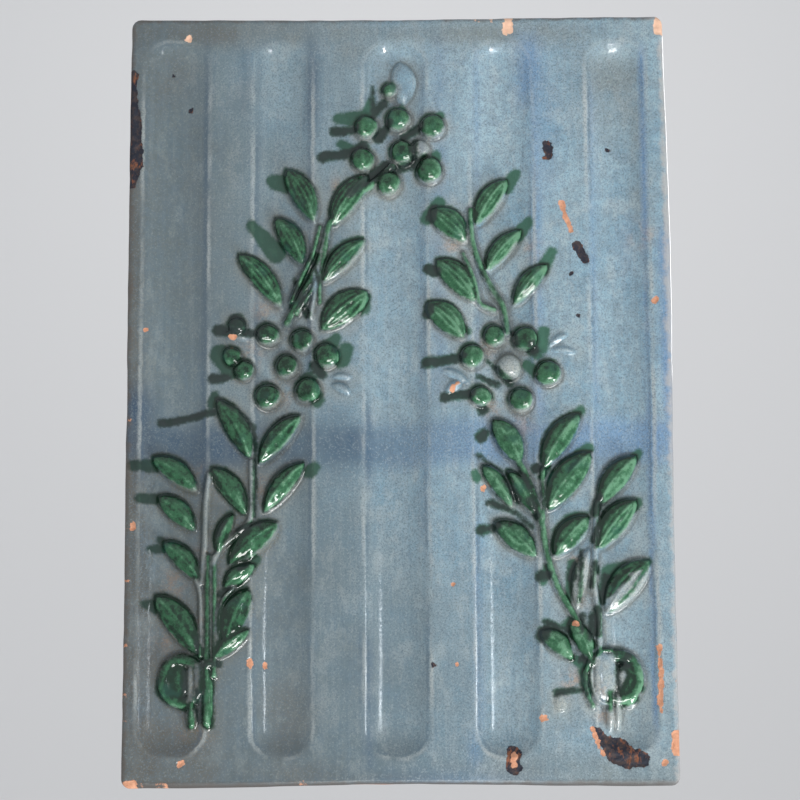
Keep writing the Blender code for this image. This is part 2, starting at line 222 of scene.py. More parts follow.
DARK_STROKES = [
    (-32, 267, -20, 268.5, 2.4, 2), (-20, 268.5, -14, 272, 1.6, 2.6), (-27, 278.2, -17, 279, 2.2, 1.8),
    (-10.5, 299, -10, 286, 0.7, 1.4), (-100, 152.2, -88, 154, 2, 1.4), (-88, 154, -78, 156.5, 1.4, 1.8),
    (-76, 162, -68, 156, 1.2, 1.2), (-68, 156, -61, 150, 1.1, 1.1), (-50, 153, -45, 155, 1, 1),
    (-76, 191.5, -62, 190, 2.6, 1.8), (-68, 195.5, -67, 194, 3.4, 3), (-78, 170.5, -71.5, 171, 2.2, 1.4),
    (12.5, 177, 28, 179.5, 2.6, 2), (19.5, 162, 31, 163.5, 2, 2), (13.5, 217.5, 16, 216, 2.6, 2.2),
    (14.5, 240, 16, 244, 2.6, 2), (13, 198, 14, 201, 2.6, 2.2), (58, 182, 57, 184, 2.4, 2.6),
    (58, 131.5, 59.5, 131.5, 2.4, 2), (59.5, 86.5, 62, 87, 2.8, 2), (59.5, 62, 61, 64, 3, 2.4),
    (35, 145.5, 36.5, 147, 2.8, 2.2), (35, 156.5, 37, 157, 1.8, 1.6), (34, 137.5, 37, 135, 1.3, 0.8),
    (37, 135, 44, 131, 0.8, 0.6), (38.5, 117.5, 50, 113, 1.6, 1.2), (50, 113, 56, 107, 1.2, 0.8),
    (61, 67.5, 70, 64, 1.4, 1), (65, 38.5, 76, 39.5, 1.7, 1), (-20, 250, -12, 257, 2.2, 2.4),
    (-12, 257, -5, 264, 2.4, 2.2), (34.5, 106, 42, 107.5, 2.3, 1.8), (82, 113, 84, 119, 2.2, 2),
    (81, 101, 83, 106, 1.4, 1.4), (75.5, 63, 76, 70, 1, 1.2), (79, 60, 80, 70, 1.2, 1.4),
    (82.5, 62, 82.5, 72, 1.6, 2), (82, 90, 83, 88, 1.6, 1.2), (75, 76, 76, 97, 1, 0.9),
    (72, 86, 73, 91, 2.2, 1.4), (80, 82, 82, 92, 1, 1), (84.5, 76, 86, 86, 1.6, 2.2),
    (-84, 62, -83.4, 56, 1, 1), (-83.4, 40, -83.4, 35, 0.9, 0.9), (-83.4, 32, -83.2, 27, 0.9, 0.8),
    (-81, 50, -75, 51, 1.6, 1.8), (-88.6, 48, -88.6, 37, 1, 1.2), (92, 50, 94, 53, 2.2, 2),
    (80, 70, 81, 62, 1, 1.2), (90, 47, 95, 49, 0.9, 1.2), (89, 38, 89, 33, 0.9, 0.7),
    (-75, 104, -72, 110, 1.4, 1), (-66, 90, -62, 92, 1.6, 1), (-66, 106, -58, 109.5, 1.8, 1.8),
    (-74, 80, -70, 82, 1.6, 1), (45, 126, 50, 119, 1.2, 2.2), (51, 132, 55, 122, 0.7, 1.2),
    (55, 118, 58, 111, 1.6, 1.6), (-61, 150, -60, 140, 0.9, 0.8), (-60, 138, -60.5, 112, 0.8, 0.7),
    (-3, 282, -8, 276, 1.6, 2.2), (-5, 292, -9, 288, 1.6, 2), (7, 264, 8, 274, 2, 1.4),
    (3, 276, 10, 280, 1.6, 2.2), (-2, 262, 5, 263, 2, 1.6), (-35, 176, -32, 172, 2.4, 2.4),
    (38, 178, 48, 168, 0.8, 1.4), (34, 171, 42, 168, 1.2, 1.6), (50, 185, 49, 190, 1.6, 1.4),
    (-60, 190, -58, 187, 1.6, 1.2), (-43, 208, -38, 198, 1.8, 1.4), (-44, 214, -40, 204, 1, 1.6),
    (-37, 222, -33, 212, 0.8, 0.9), (36, 216, 44, 204, 0.8, 0.8), (77, 46, 77.4, 38, 0.9, 0.9),
    (76, 52, 80, 50, 1.6, 1), (84.6, 75, 85, 78, 1, 1.2), (90, 54, 90.4, 40, 0.6, 1),
]
# Fresh chips down to the red clay
FRESH_CHIPS = [
    (8, 328.8, 24, 329, 1.1), (33, 328.8, 50, 328.8, 1.1), (48.5, 323.5, 48.5, 326, 2.4),
    (113.5, 323, 114.5, 328, 2), (-90, 320.5, -89.5, 320.5, 1.3), (70.5, 246, 74.5, 234, 1.2),
    (-107, 192, -107, 192.5, 1), (-111, 108, -111, 109, 1.4), (-114, 153, -114, 154, 1),
    (-114, 84, -114, 85, 1.2), (-114, 57, -114, 59, 1.3), (-114, 37, -114, 39, 1.2),
    (-114, 28, -114, 30, 1.1), (-62, 50, -62, 52, 1.2), (-56, 50, -56, 50.4, 0.8),
    (-90.5, 10, -90, 10.5, 1.3), (-52, 1, -46, 1, 1.2), (-42, 1.5, -35, 1.5, 1.1), (-105, 0.8, -95, 0.8, 1.1),
    (-112, 2, -110, 2, 1.8), (59, 28, 59.5, 28, 1.3), (22.5, 83, 22.5, 83.4, 0.7), (24, 50, 24, 50.4, 0.7),
    (107.8, 31, 107.8, 57, 1), (114, 14, 114, 21, 1.7), (115, 33, 115, 34, 1.3), (115, 40, 115, 45, 1.2),
    (116, 178, 116, 182, 1.2), (109.5, 203.5, 109.5, 204.5, 1.2), (109, 9, 109, 9.4, 1.1),
    (102, 1, 104, 1, 1.1), (79.5, 24, 81, 19, 0.8), (81, 18, 84, 13, 0.7), (47, 9.5, 47, 12.5, 1.3),
    (23, 165.5, 23, 166, 1), (25.5, 167.5, 25.5, 168, 0.8), (-70.5, 188.5, -69, 188.5, 1.2),
    (72.5, 66.5, 73.5, 66, 1.2), (35, 123, 35.5, 124, 1),
]
# Old chips, dark with soot
OLD_CHIPS = [
    (65, 267, 65, 272, 1.9), (77, 227.5, 80, 221, 1.9), (47, 8, 47, 14, 2.9), (91, 270, 91, 270.4, 0.8),
    (14, 50, 14, 50.4, 0.7), (-89, 289, -89, 289.4, 0.6), (-97, 305, -97, 305.4, 0.6),
    (76.5, 197, 76.5, 197.4, 0.8), (74, 215, 74, 215.4, 0.7),
]
OLD_CHIP_OUTLINES = [
    [(79.5, 25), (82.5, 24), (84.5, 20.5), (91, 20.5), (96, 16), (102.5, 12), (101.5, 9), (94, 7.5),
     (88, 8.5), (84, 12.5), (81, 18)],
    [(-117, 250), (-112.5, 254), (-110, 260), (-109, 270), (-110.3, 285), (-111.7, 300), (-113, 310),
     (-117, 316)],
]

# Where the ground glaze has fired tan: across, up, radius
WARM_SPOTS = [
    (83.5, 39.5, 3), (72, 43, 5), (84, 29, 3.2), (77.3, 77, 3.2), (-57.5, 124, 5), (53, 150, 5.5),
    (40, 157.5, 4), (38, 184, 5), (23, 228, 4), (-25, 254, 3.2), (-57, 200, 4.5), (58, 226, 4), (-93, 85, 6),
    (-96, 62, 6), (-50, 164, 6), (-62, 182, 5), (-84, 133, 4), (74, 93, 3), (40, 144, 3), (105, 232, 5),
    (-85, 24, 6), (-72, 124, 5), (-83, 68, 3), (-82, 98, 3),
]
# Where it has gone dull and smoky: across, up, half width, half height, strength
SMOKY_SPOTS = [
    (-96, 18, 22, 20, 0.95), (-110, 60, 7, 30, 0.9), (-109, 120, 5, 90, 0.45), (99, 24, 14, 14, 0.6),
    (92, 298, 15, 20, 0.75), (-47, 30, 13, 22, 0.65), (45, 322, 60, 6, 0.8), (-60, 323, 60, 7, 0.85),
    (-100, 306, 14, 18, 0.6), (-68, 100, 16, 60, 0.35), (68, 34, 12, 12, 0.45), (-88, 250, 22, 60, 0.25),
    (104, 270, 5, 50, 0.45), (45, 6, 30, 7, 0.6), (-20, 318, 12, 10, 0.5), (-113, 165, 4.5, 190, 0.9),
    (-95, 5, 26, 13, 1), (80, 4, 40, 8, 0.6), (-50, 5, 30, 7, 0.6), (-100, 46, 14, 32, 0.7),
    (10, 2, 120, 4, 0.45),
]

# Cobalt band, where the ground glaze runs blue: its middle height, half height and softness
COBALT_BAND = (144.0, 9.0, 5.0)
# Pooled cobalt running down beside the flutes: across, from up, to up, half width, strength
COBALT_LINES = [
    (105.5, 20, 318, 0.9, 0.9), (57, 290, 320, 5.5, 0.85), (59.5, 150, 300, 2.6, 0.6),
    (-12.5, 128, 158, 1.3, 1), (-36, 280, 320, 3.5, 0.8), (-37, 160, 285, 1.6, 0.45),
    (84, 125, 300, 1.5, 0.4), (34.5, 150, 315, 1.2, 0.35), (-60, 150, 315, 1.2, 0.35),
    (-82, 130, 318, 1.4, 0.5), (11, 100, 310, 1.5, 0.4), (18, 160, 320, 3.5, 0.35), (114, 150, 235, 2.4, 0.9),
    (-13, 8, 60, 2, 0.6), (-66, 285, 320, 3, 0.4), (-108, 132, 158, 2.5, 0.9), (-82, 120, 160, 1.6, 0.9),
    (-26, 130, 158, 7, 0.5), (99, 215, 240, 5, 0.2), (31, 8, 22, 3, 0.5), (12, -10, 4, 34, 0.75),
    (-44, -10, 0, 30, 0.35), (33, 20, 110, 1.6, 0.5), (62, 250, 300, 6, 0.3), (-110, 148, 166, 8, 1),
]


def smooth_step(low, high, value):
    """A smooth rise from nought to one between two values."""
    share = np.clip((value - low) / (high - low), 0, 1)
    return share * share * (3 - 2 * share)


def soft_max(a, b, softness):
    """The larger of two heights, blended as a thick glaze fills the crease between them."""
    return 0.5 * (a + b + np.sqrt((a - b) ** 2 + softness ** 2))


def between(table, rows, columns, fx, fy):
    """A table's numbers at places between two rows and two columns."""
    (i0, i1), (j0, j1) = rows, columns
    low = table[i0, j0] * (1 - fx) + table[i1, j0] * fx
    high = table[i0, j1] * (1 - fx) + table[i1, j1] * fx
    return low * (1 - fy) + high * fy


def noise(u, v, size, seed):
    """Smooth noise between -1 and 1 with features about size millimetres across."""
    table = np.random.default_rng(seed).uniform(-1, 1, (97, 101))
    x, y = np.asarray(u) / size + 50, np.asarray(v) / size + 50
    i, j = np.floor(x).astype(int), np.floor(y).astype(int)
    fx, fy = x - i, y - j
    fx, fy = fx * fx * (3 - 2 * fx), fy * fy * (3 - 2 * fy)
    return between(table, (i % 97, (i + 1) % 97), (j % 101, (j + 1) % 101), fx, fy)


def nearest(field, name, places, distance):
    """Keep the smaller of the distance known so far and a new one."""
    field[name][places] = np.minimum(field[name][places], distance)


def from_stretch(u, v, x0, y0, x1, y1):
    """Share of the way along a straight stretch, and the steps across and up from its nearest point."""
    ex, ey = x1 - x0, y1 - y0
    share = np.clip(((u - x0) * ex + (v - y0) * ey) / max(ex * ex + ey * ey, 1e-9), 0, 1)
    return share, u - x0 - ex * share, v - y0 - ey * share


def stroke_distance(u, v, stroke):
    """Signed distance to a brush stroke with round ends, each with its own half width."""
    *stretch, start, end = stroke
    share, du, dv = from_stretch(u, v, *stretch)
    return np.hypot(du, dv) - start - (end - start) * share


def path_distance(u, v, points):
    """Distance to a path of straight stretches."""
    best = np.full(np.shape(u), 1e9)
    for start, end in zip(points, points[1:]):
        _, du, dv = from_stretch(u, v, *start, *end)
        best = np.minimum(best, du ** 2 + dv ** 2)
    return np.sqrt(best)


def outline_distance(u, v, outline):
    """Signed distance to a closed outline, negative inside."""
    ring = list(outline) + [outline[0]]
    inside = np.zeros(np.shape(u), bool)
    for (x0, y0), (x1, y1) in zip(ring, ring[1:]):
        if y0 != y1:
            crosses = (y0 > v) != (y1 > v)
            inside ^= crosses & (u < (x1 - x0) * (v - y0) / (y1 - y0) + x0)
    return np.where(inside, -1, 1) * path_distance(u, v, ring)


def smooth_path(points, steps):
    """Points on a smooth curve through the given ones."""
    given = [Vector(point) for point in points]
    ends = [given[0] * 2 - given[1]] + given + [given[-1] * 2 - given[-2]]
    path = []
    for a, b, c, d in zip(ends, ends[1:], ends[2:], ends[3:]):
        for step in range(steps):
            t = step / steps
            bend = (2 * a - 5 * b + 4 * c - d) * t ** 2 + (3 * b - a - 3 * c + d) * t ** 3
            path.append(tuple(0.5 * (2 * b + (c - a) * t + bend)))
    return path + [tuple(given[-1])]


def leaf_shade(row, kind):
    """How far the dark glaze pooled along a leaf's upper left edge, with painted shadow on that side: most on
    the lower right spray.
    """
    if kind == "veined" and row[1] > 150:
        return -0.9
    return 0.9 if row[0] > 56 and row[1] > 90 else -0.35


class Leaf:
    """A leaf's outline and its own directions: along from base to tip, and aside from its bowed midrib."""

    def __init__(self, row, kind):
        base_u, base_v, tip_u, tip_v, width = row
        self.base = np.array((base_u, base_v), float)
        chord = np.array((tip_u, tip_v), float) - self.base
        self.length = np.hypot(*chord)
        self.along = chord / self.length
        self.aside = np.array((-self.along[1], self.along[0]))
        self.bow = LEAF_BOW * self.length * (1 if self.aside[1] >= 0 else -1)
        self.half = width / 2
        self.kind = kind
        self.shade = leaf_shade(row, kind)
        self.lean = noise(base_u, base_v, 3.0, 11)
        self.slip = 1 + 0.9 * noise(base_u, base_v, 3.0, 15)
        self.outline = self.trace()

    def half_width(self, t):
        """Half the leaf's width at a share of its length."""
        return self.half * np.sin(np.pi * np.clip(t, 0, 1) ** 1.08) ** 0.6

    def trace(self):
        """The leaf's outline as points on the drawing."""
        stations = np.linspace(0, 1, 17)
        points = []
        for t, side in [(t, 1) for t in stations] + [(t, -1) for t in stations[-2:0:-1]]:
            offset = side * self.half_width(t) + self.bow * 4 * t * (1 - t)
            points.append(tuple(self.base + self.along * t * self.length + self.aside * offset))
        return points

    def place(self, u, v):
        """Share of the way from base to tip, and the distance aside from the midrib."""
        du, dv = u - self.base[0], v - self.base[1]
        t = (du * self.along[0] + dv * self.along[1]) / self.length
        inner = np.clip(t, 0, 1)
        s = du * self.aside[0] + dv * self.aside[1] - self.bow * 4 * inner * (1 - inner)
        return t, s

    def height(self, u, v, distance):
        """Height over the bed: a steep edge, a full crown, a fine rim, a midrib and veins."""
        t, s = self.place(u, v)
        inside = np.clip(-distance, 0, None)
        tall = STEM_HEIGHT * min(self.half / 2.5, 1) if self.kind == "bract" else LEAF_HEIGHT
        edge = LEAF_EDGE * tall
        crown = tall * (1 + 0.1 * self.lean) - edge
        share = np.clip(inside / (0.92 * self.half), 0, 1)
        height = edge * (1 - 0.5 * np.exp(-inside / 0.4)) + crown * (1 - (1 - share) ** 1.8)
        height = height - 0.5 * smooth_step(0.75, 1.1, t) - 0.4 * smooth_step(0.25, -0.1, t)
        if self.kind != "bract":
            lip = LEAF_LIP[self.kind]
            height = height + lip * np.exp(-((inside - 0.8) / 0.45) ** 2)
            height = height - 0.7 * lip * np.exp(-((inside - 1.8) / 0.6) ** 2)
            midrib = np.exp(-(s / 0.4) ** 2) - 0.5 * np.exp(-((np.abs(s) - 0.9) / 0.5) ** 2)
            height = height + MIDRIB * midrib * smooth_step(1.0, 0.8, t) * smooth_step(0.0, 1.5, inside)
        spread = s / np.maximum(self.half_width(t), 0.6)
        if self.kind in ("veined", "bare"):
            lines = (0.5 + 0.5 * np.cos(2 * np.pi * spread * VEINS_A_SIDE + 1.5 * t)) ** 3
            uneven = VEIN + 0.5 * VEIN * noise(u, v, 4, 14)
            height = height + uneven * (lines - 0.3) * smooth_step(0.6, 1.8, inside)
        elif self.kind == "plain":
            grooves = noise(3.4 * spread + self.base[0], 2.2 * t + self.base[1], 1.0, 12)
            height = height + GROOVE * grooves * smooth_step(0.5, 1.6, inside)
        return np.where(distance > 0, 0.5 * edge - EDGE_SLOPE * distance, height)


# Kinds of painting and damage that the shader draws from a distance kept on the mesh; the dark pool along
# upper left edges is partly painted shadow
PAINTING = ("green", "dark", "pool_and_shade", "fresh", "old", "berry")


class Relief:
    """Heights and painting of the face, evaluated at any places on the drawing."""

    def __init__(self):
        kinds = (("veined", VEINED_LEAVES), ("plain", PLAIN_LEAVES), ("bare", BARE_LEAVES), ("bract", BRACTS))
        self.leaves = [Leaf(row, kind) for kind, rows in kinds for row in rows]
        self.stems = [(width / 2, painted, smooth_path(points, 4)) for width, painted, points in STEMS]
        for u, v, radius, width in LOOPS:
            turns = np.linspace(0, 2 * np.pi, 25)
            band = [(u + radius * np.cos(a), v + 1.15 * radius * np.sin(a)) for a in turns]
            self.stems.append((width / 2, True, band))

    @staticmethod
    def near(u, v, points, margin):
        """Which places are near a group of points."""
        us, vs = [p[0] for p in points], [p[1] for p in points]
        across = (u > min(us) - margin) & (u < max(us) + margin)
        return across & (v > min(vs) - margin) & (v < max(vs) + margin)

    def ground(self, u, v):
        """The fluted ground and the distance inside the flutes' arrises: round channels, a little uneven."""
        du = u + 0.5 * noise(u, v, 55, 21)
        dv = v + 0.6 * noise(u, v, 40, 22)
        height = 0.10 * noise(u, v, 34, 23) + 0.05 * noise(u, v, 13, 24)
        flute = np.full(np.shape(u), -FAR)
        for left, right, lower, upper, radius in FLUTES:
            half = (right - left) / 2
            dx = np.abs(du - (left + right) / 2) - half + radius
            dz = np.abs(dv - (lower + upper) / 2) - (upper - lower) / 2 + radius
            inside = radius - np.hypot(np.maximum(dx, 0), np.maximum(dz, 0))
            inside = inside - np.minimum(np.maximum(dx, dz), 0)
            soft = 0.5 * (inside + np.sqrt(inside ** 2 + 0.35)) / half
            channel = 1 - (1 - np.clip(soft, 0, 1)) ** 2.5
            height = height - FLUTE_DEPTH * channel + 0.25 * np.exp(-((inside + 0.9) / 1.0) ** 2)
            flute = np.maximum(flute, np.minimum(inside, FAR))
        return height, flute

    def evaluate(self, u, v):
        """Height in millimetres over the frame, and signed distances to each kind of painting and damage."""
        height, flute = self.ground(u, v)
        bed = GROUND_FOLLOW * height
        field = {name: np.full(u.shape, FAR) for name in PAINTING + ("raised", "bract")}
        field["flute"] = flute
        self.add_stems(u, v, bed, height, field)
        self.add_folds(u, v, bed, height, field)
        self.add_leaves(u, v, bed, height, field)
        self.add_berries(u, v, bed, height, field)
        self.add_painting(u, v, height, field)
        self.add_damage(u, v, height, field)
        field["height"] = height
        return field

    def add_stems(self, u, v, bed, height, field):
        for half, painted, path in self.stems:
            m = self.near(u, v, path, half + FAR)
            distance = path_distance(u[m], v[m], path)
            share = np.clip(distance / half, 0, 1)
            crown = STEM_HEIGHT * (0.35 + 0.65 * np.sqrt(1 - share ** 2))
            foot = 0.35 * STEM_HEIGHT - EDGE_SLOPE * (distance - half)
            height[m] = soft_max(height[m], bed[m] + np.where(distance < half, crown, foot), 0.4)
            nearest(field, "raised", m, distance - half)
            if painted:
                nearest(field, "green", m, distance - half + 0.2)
            else:
                field["green"][m] = np.maximum(field["green"][m], half + 0.3 - distance)

    def add_folds(self, u, v, bed, height, field):
        for fu, fv, half_width, half_height, rise, bare in FOLDS:
            m = self.near(u, v, [(fu, fv)], max(half_width, half_height) + FAR)
            share = np.hypot((u[m] - fu) / half_width, (v[m] - fv) / half_height)
            dome = bed[m] + rise * (0.3 + 0.7 * np.sqrt(np.clip(1 - share ** 2.4, 0, 1)))
            outside = (share - 1) * half_width
            dome = np.where(share < 1, dome, bed[m] + 0.3 * rise - 2.2 * outside)
            height[m] = soft_max(height[m], dome, 0.3)
            nearest(field, "raised", m, outside)
            if bare:
                field["green"][m] = np.maximum(field["green"][m], 0.4 - outside)

    def add_leaves(self, u, v, bed, height, field):
        for leaf in self.leaves:
            m = self.near(u, v, leaf.outline, FAR)
            pu, pv = u[m], v[m]
            distance = outline_distance(pu, pv, leaf.outline)
            top = bed[m] + leaf.height(pu, pv, distance)
            height[m] = soft_max(height[m], top, CREASE)
            nearest(field, "raised", m, distance)
            if leaf.kind == "bract":
                nearest(field, "bract", m, distance)
            if leaf.kind in ("veined", "plain"):
                slip_u, slip_v = leaf.slip * PAINT_SLIP[0], leaf.slip * PAINT_SLIP[1]
                painted = outline_distance(pu + slip_u, pv - slip_v, leaf.outline)
                nearest(field, "green", m, painted - 0.15)
                # The dark crescent along the leaf's upper left edge: pooled glaze and painted shadow
                lower_right = outline_distance(pu - 0.9, pv + 1.0, leaf.outline)
                crescent = np.maximum(0.3 - lower_right, painted - 0.5) - leaf.shade
                nearest(field, "pool_and_shade", m, crescent)

    def add_berries(self, u, v, bed, height, field):
        for index, (bu, bv, radius) in enumerate(BERRIES + BARE_BERRIES):
            m = self.near(u, v, [(bu, bv)], radius + FAR)
            pu, pv = u[m], v[m]
            turn = np.arctan2(pv - bv, pu - bu)
            uneven = radius * (1 + 0.03 * np.sin(2 * turn + index) + 0.02 * np.sin(3 * turn + 2 * index))
            distance = np.hypot(pu - bu, pv - bv)
            share = np.clip(distance / uneven, 0, 1)
            tall = BERRY_HEIGHT * min(radius / 5, 1)
            dome = tall * (0.3 + 0.7 * np.sqrt(1 - share ** 2.3))
            rise = np.where(distance < uneven, dome, 0.3 * tall - EDGE_SLOPE * (distance - uneven))
            height[m] = soft_max(height[m], bed[m] + rise, CREASE)
            outside = distance - uneven
            moat = MOAT * np.exp(-((outside - 0.8) / 0.4) ** 2)
            ring = MOAT_RING * np.exp(-((outside - 1.7) / 0.45) ** 2)
            height[m] += ring - moat
            nearest(field, "raised", m, outside)
            if index < len(BERRIES):
                cover = 0.35 + 0.35 * noise(bu, bv, 3.0, 13)
                painted = np.hypot(pu - bu + BERRY_SLIP[0], pv - bv - BERRY_SLIP[1]) - radius - cover
                nearest(field, "green", m, painted)
                # A dark rim on the berry's upper left: pooled glaze and painted shadow
                lower_right = np.hypot(pu - bu - 0.6, pv - bv + 0.8) - radius
                rim = np.maximum(0.4 - lower_right, np.hypot(pu - bu + 0.8, pv - bv - 0.8) - radius - 0.7)
                nearest(field, "pool_and_shade", m, rim)
            nearest(field, "berry", m, outside)

    def add_painting(self, u, v, height, field):
        kinds = (("green", GREEN_SMEARS, SMEAR_THICKNESS), ("dark", DARK_STROKES, STROKE_THICKNESS))
        for name, strokes, thickness in kinds:
            for stroke in strokes:
                x0, y0, x1, y1, start, end = stroke
                m = self.near(u, v, [(x0, y0), (x1, y1)], max(start, end) + FAR)
                distance = stroke_distance(u[m], v[m], stroke)
                nearest(field, name, m, distance)
                if name == "dark":
                    nearest(field, "green", m, distance + 0.2)
                height[m] += thickness * smooth_step(0.6, -1.2, distance)
        lumps = 0.10 * noise(u, v, 2.6, 31) + 0.06 * noise(u, v, 1.4, 32)
        height += lumps * smooth_step(0.5, -0.8, field["green"])

    def add_damage(self, u, v, height, field):
        ragged = 0.6 * noise(u, v, 2.6, 41) + 0.4 * noise(u, v, 1.1, 42)
        for name, chips in (("fresh", FRESH_CHIPS), ("old", OLD_CHIPS)):
            for x0, y0, x1, y1, half in chips:
                m = self.near(u, v, [(x0, y0), (x1, y1)], half + FAR)
                distance = path_distance(u[m], v[m], [(x0, y0), (x1, y1)]) - half + ragged[m]
                nearest(field, name, m, distance)
        for outline in OLD_CHIP_OUTLINES:
            m = self.near(u, v, outline, FAR)
            torn = 1.2 * ragged[m] + 0.7 * noise(u[m], v[m], 5, 45)
            nearest(field, "old", m, outline_distance(u[m], v[m], outline) + torn)
        grain = 0.5 + 0.25 * noise(u, v, 1.1, 43) + 0.2 * noise(u, v, 2.7, 44)
        height -= CHIP_DEPTH * grain * smooth_step(0.25, -0.5, np.minimum(field["fresh"], field["old"]))


class FaceGrid:
    """The face as cells of three sizes, finest on the relief, with no gaps where sizes meet."""

    def __init__(self, relief):
        inner_width = WIDTH - 2 * FACE_ROUNDING
        inner_height = HEIGHT - 2 * FACE_ROUNDING
        self.nx = 4 * round(inner_width / CELL / 4)
        self.nz = 4 * round(inner_height / CELL / 4)
        self.step = (inner_width / self.nx, inner_height / self.nz)
        self.split(relief)
        self.join()

    def places(self, i, j):
        """Places on the drawing of grid corners."""
        u = LEFT_SIDE + FACE_ROUNDING + np.asarray(i) * self.step[0]
        v = FACE_ROUNDING + np.asarray(j) * self.step[1]
        return u, v

    def split(self, relief):
        """Which cells are medium and fine: near relief, chips and the edges of paint."""
        i, j = np.meshgrid(np.arange(self.nx // 2) * 2 + 1, np.arange(self.nz // 2) * 2 + 1, indexing="ij")
        field = relief.evaluate(*[axis.ravel() for axis in self.places(i, j)])
        shape = i.shape
        raised = field["raised"].reshape(shape)
        chips = np.minimum(field["fresh"], field["old"]).reshape(shape)
        fine = (raised < FINE_AT_RELIEF) | (chips < FINE_AT_CHIPS)
        paint = np.minimum(np.abs(field["green"]), np.abs(field["dark"])).reshape(shape)
        medium = (raised < MEDIUM_AT_RELIEF) | (chips < MEDIUM_AT_CHIPS) | (paint < MEDIUM_AT_PAINT)
        medium[:2, :] = medium[-2:, :] = True
        medium[:, :2] = medium[:, -2:] = True
        spread = fine.copy()
        spread[1:] |= fine[:-1]
        spread[:-1] |= fine[1:]
        spread[:, 1:] |= spread[:, :-1].copy()
        spread[:, :-1] |= spread[:, 1:].copy()
        medium |= spread
        self.fine = fine
        self.medium = medium.reshape(shape[0] // 2, 2, shape[1] // 2, 2).any(axis=(1, 3))

    def cells_of(self, size):
        """Lower left corners of the cells of one size, counted in the smallest cells."""
        if size == 4:
            i, j = np.nonzero(~self.medium)
        else:
            parents = np.repeat(np.repeat(self.medium, 2, 0), 2, 1)
            cells = parents & (self.fine if size == 1 else ~self.fine)
            if size == 1:
                cells = np.repeat(np.repeat(cells, 2, 0), 2, 1)
            i, j = np.nonzero(cells)
        return i * size, j * size

    def join(self):
        """Quads where nothing finer adjoins, and fans of triangles where it does."""
        used = np.zeros((self.nx + 1, self.nz + 1), bool)
        for size in (4, 2, 1):
            i, j = self.cells_of(size)
            for di, dj in ((0, 0), (size, 0), (size, size), (0, size)):
                used[i + di, j + dj] = True
        quads, fans = [], []
        for size in (4, 2, 1):
            i, j = self.cells_of(size)
            corners = [(i, j), (i + size, j), (i + size, j + size), (i, j + size)]
            if size == 1:
                quads.append(np.stack([self.code(*corner) for corner in corners], 1))
                continue
            half = size // 2
            middles = [(i + half, j), (i + size, j + half), (i + half, j + size), (i, j + half)]
            split = [used[m] for m in middles]
            any_split = np.logical_or.reduce(split)
            plain = ~any_split
            quads.append(np.stack([self.code(a[plain], b[plain]) for a, b in corners], 1))
            centre = self.code(i + half, j + half)
            for side in range(4):
                a = self.code(*corners[side])
                b = self.code(*corners[(side + 1) % 4])
                middle = self.code(*middles[side])
                whole = any_split & ~split[side]
                halved = any_split & split[side]
                fans.append(np.stack([centre[whole], a[whole], b[whole]], 1))
                fans.append(np.stack([centre[halved], a[halved], middle[halved]], 1))
                fans.append(np.stack([centre[halved], middle[halved], b[halved]], 1))
            used.ravel()[centre[any_split]] = True
        codes = np.nonzero(used.ravel())[0]
        self.number = np.full(used.size, -1)
        self.number[codes] = np.arange(len(codes))
        self.quads = self.number[np.concatenate(quads)]
        self.fans = self.number[np.concatenate(fans)]
        self.i, self.j = codes // (self.nz + 1), codes % (self.nz + 1)
        self.used = used

    def code(self, i, j):
        """One number for each corner of the smallest cells."""
        return i * (self.nz + 1) + j

    def rim(self):
        """The numbers of the corners round the edge, anticlockwise from the lower left."""
        nx, nz = self.nx, self.nz
        sides = [
            [(i, 0) for i in range(nx)], [(nx, j) for j in range(nz)],
            [(i, nz) for i in range(nx, 0, -1)], [(0, j) for j in range(nz, 0, -1)],
        ]
        return [self.number[self.code(i, j)] for side in sides for i, j in side if self.used[i, j]]


def bow_outline(u, v):
    """Bring the straight outline to the fired tile's slightly bowed and uneven sides."""
    right = -2.0 + 1.7 * np.exp(-((v - 225) / 80) ** 2) + 0.12 * noise(v, 0 * v, 9, 51)
    left = 0.35 + 0.3 * noise(v, 0 * v, 23, 52) + 0.12 * noise(v, 0 * v, 6, 53)
    lower = 0.25 + 1.5 * np.exp(-(u / 55) ** 2) + 0.15 * noise(u, 0 * u, 8, 54)
    upper = -0.4 - 0.9 * np.exp(-((u + 10) / 70) ** 2) + 0.15 * noise(u, 0 * u, 7, 55)
    reach = 9.0
    nu = u + left * smooth_step(LEFT_SIDE + reach, LEFT_SIDE, u)
    nu = nu + right * smooth_step(RIGHT_SIDE - reach, RIGHT_SIDE, u)
    nv = v + lower * smooth_step(reach, 0, v) + upper * smooth_step(HEIGHT - reach, HEIGHT, v)
    return nu, nv


def round_corners(u, v):
    """Turn the square corners of the face into quarter rounds."""
    radius = PLATE_CORNER + 1.0 - FACE_ROUNDING
    centre_u, centre_v = (LEFT_SIDE + RIGHT_SIDE) / 2, HEIGHT / 2
    reach_u = WIDTH / 2 - FACE_ROUNDING - radius
    reach_v = HEIGHT / 2 - FACE_ROUNDING - radius
    a = np.clip(np.abs(u - centre_u) - reach_u, 0, radius)
    b = np.clip(np.abs(v - centre_v) - reach_v, 0, radius)
    shrink_a = a - a * np.sqrt(1 - b ** 2 / (2 * radius ** 2))
    shrink_b = b - b * np.sqrt(1 - a ** 2 / (2 * radius ** 2))
    return u - np.sign(u - centre_u) * shrink_a, v - np.sign(v - centre_v) * shrink_b


def edge_table(grid):
    """Each edge of the face's cells once, as the numbers of its ends."""
    quads, fans = grid.quads, grid.fans
    pairs = [quads[:, [k, (k + 1) % 4]] for k in range(4)] + [fans[:, [k, (k + 1) % 3]] for k in range(3)]
    pairs = np.sort(np.concatenate(pairs), 1)
    return np.unique(pairs, axis=0)


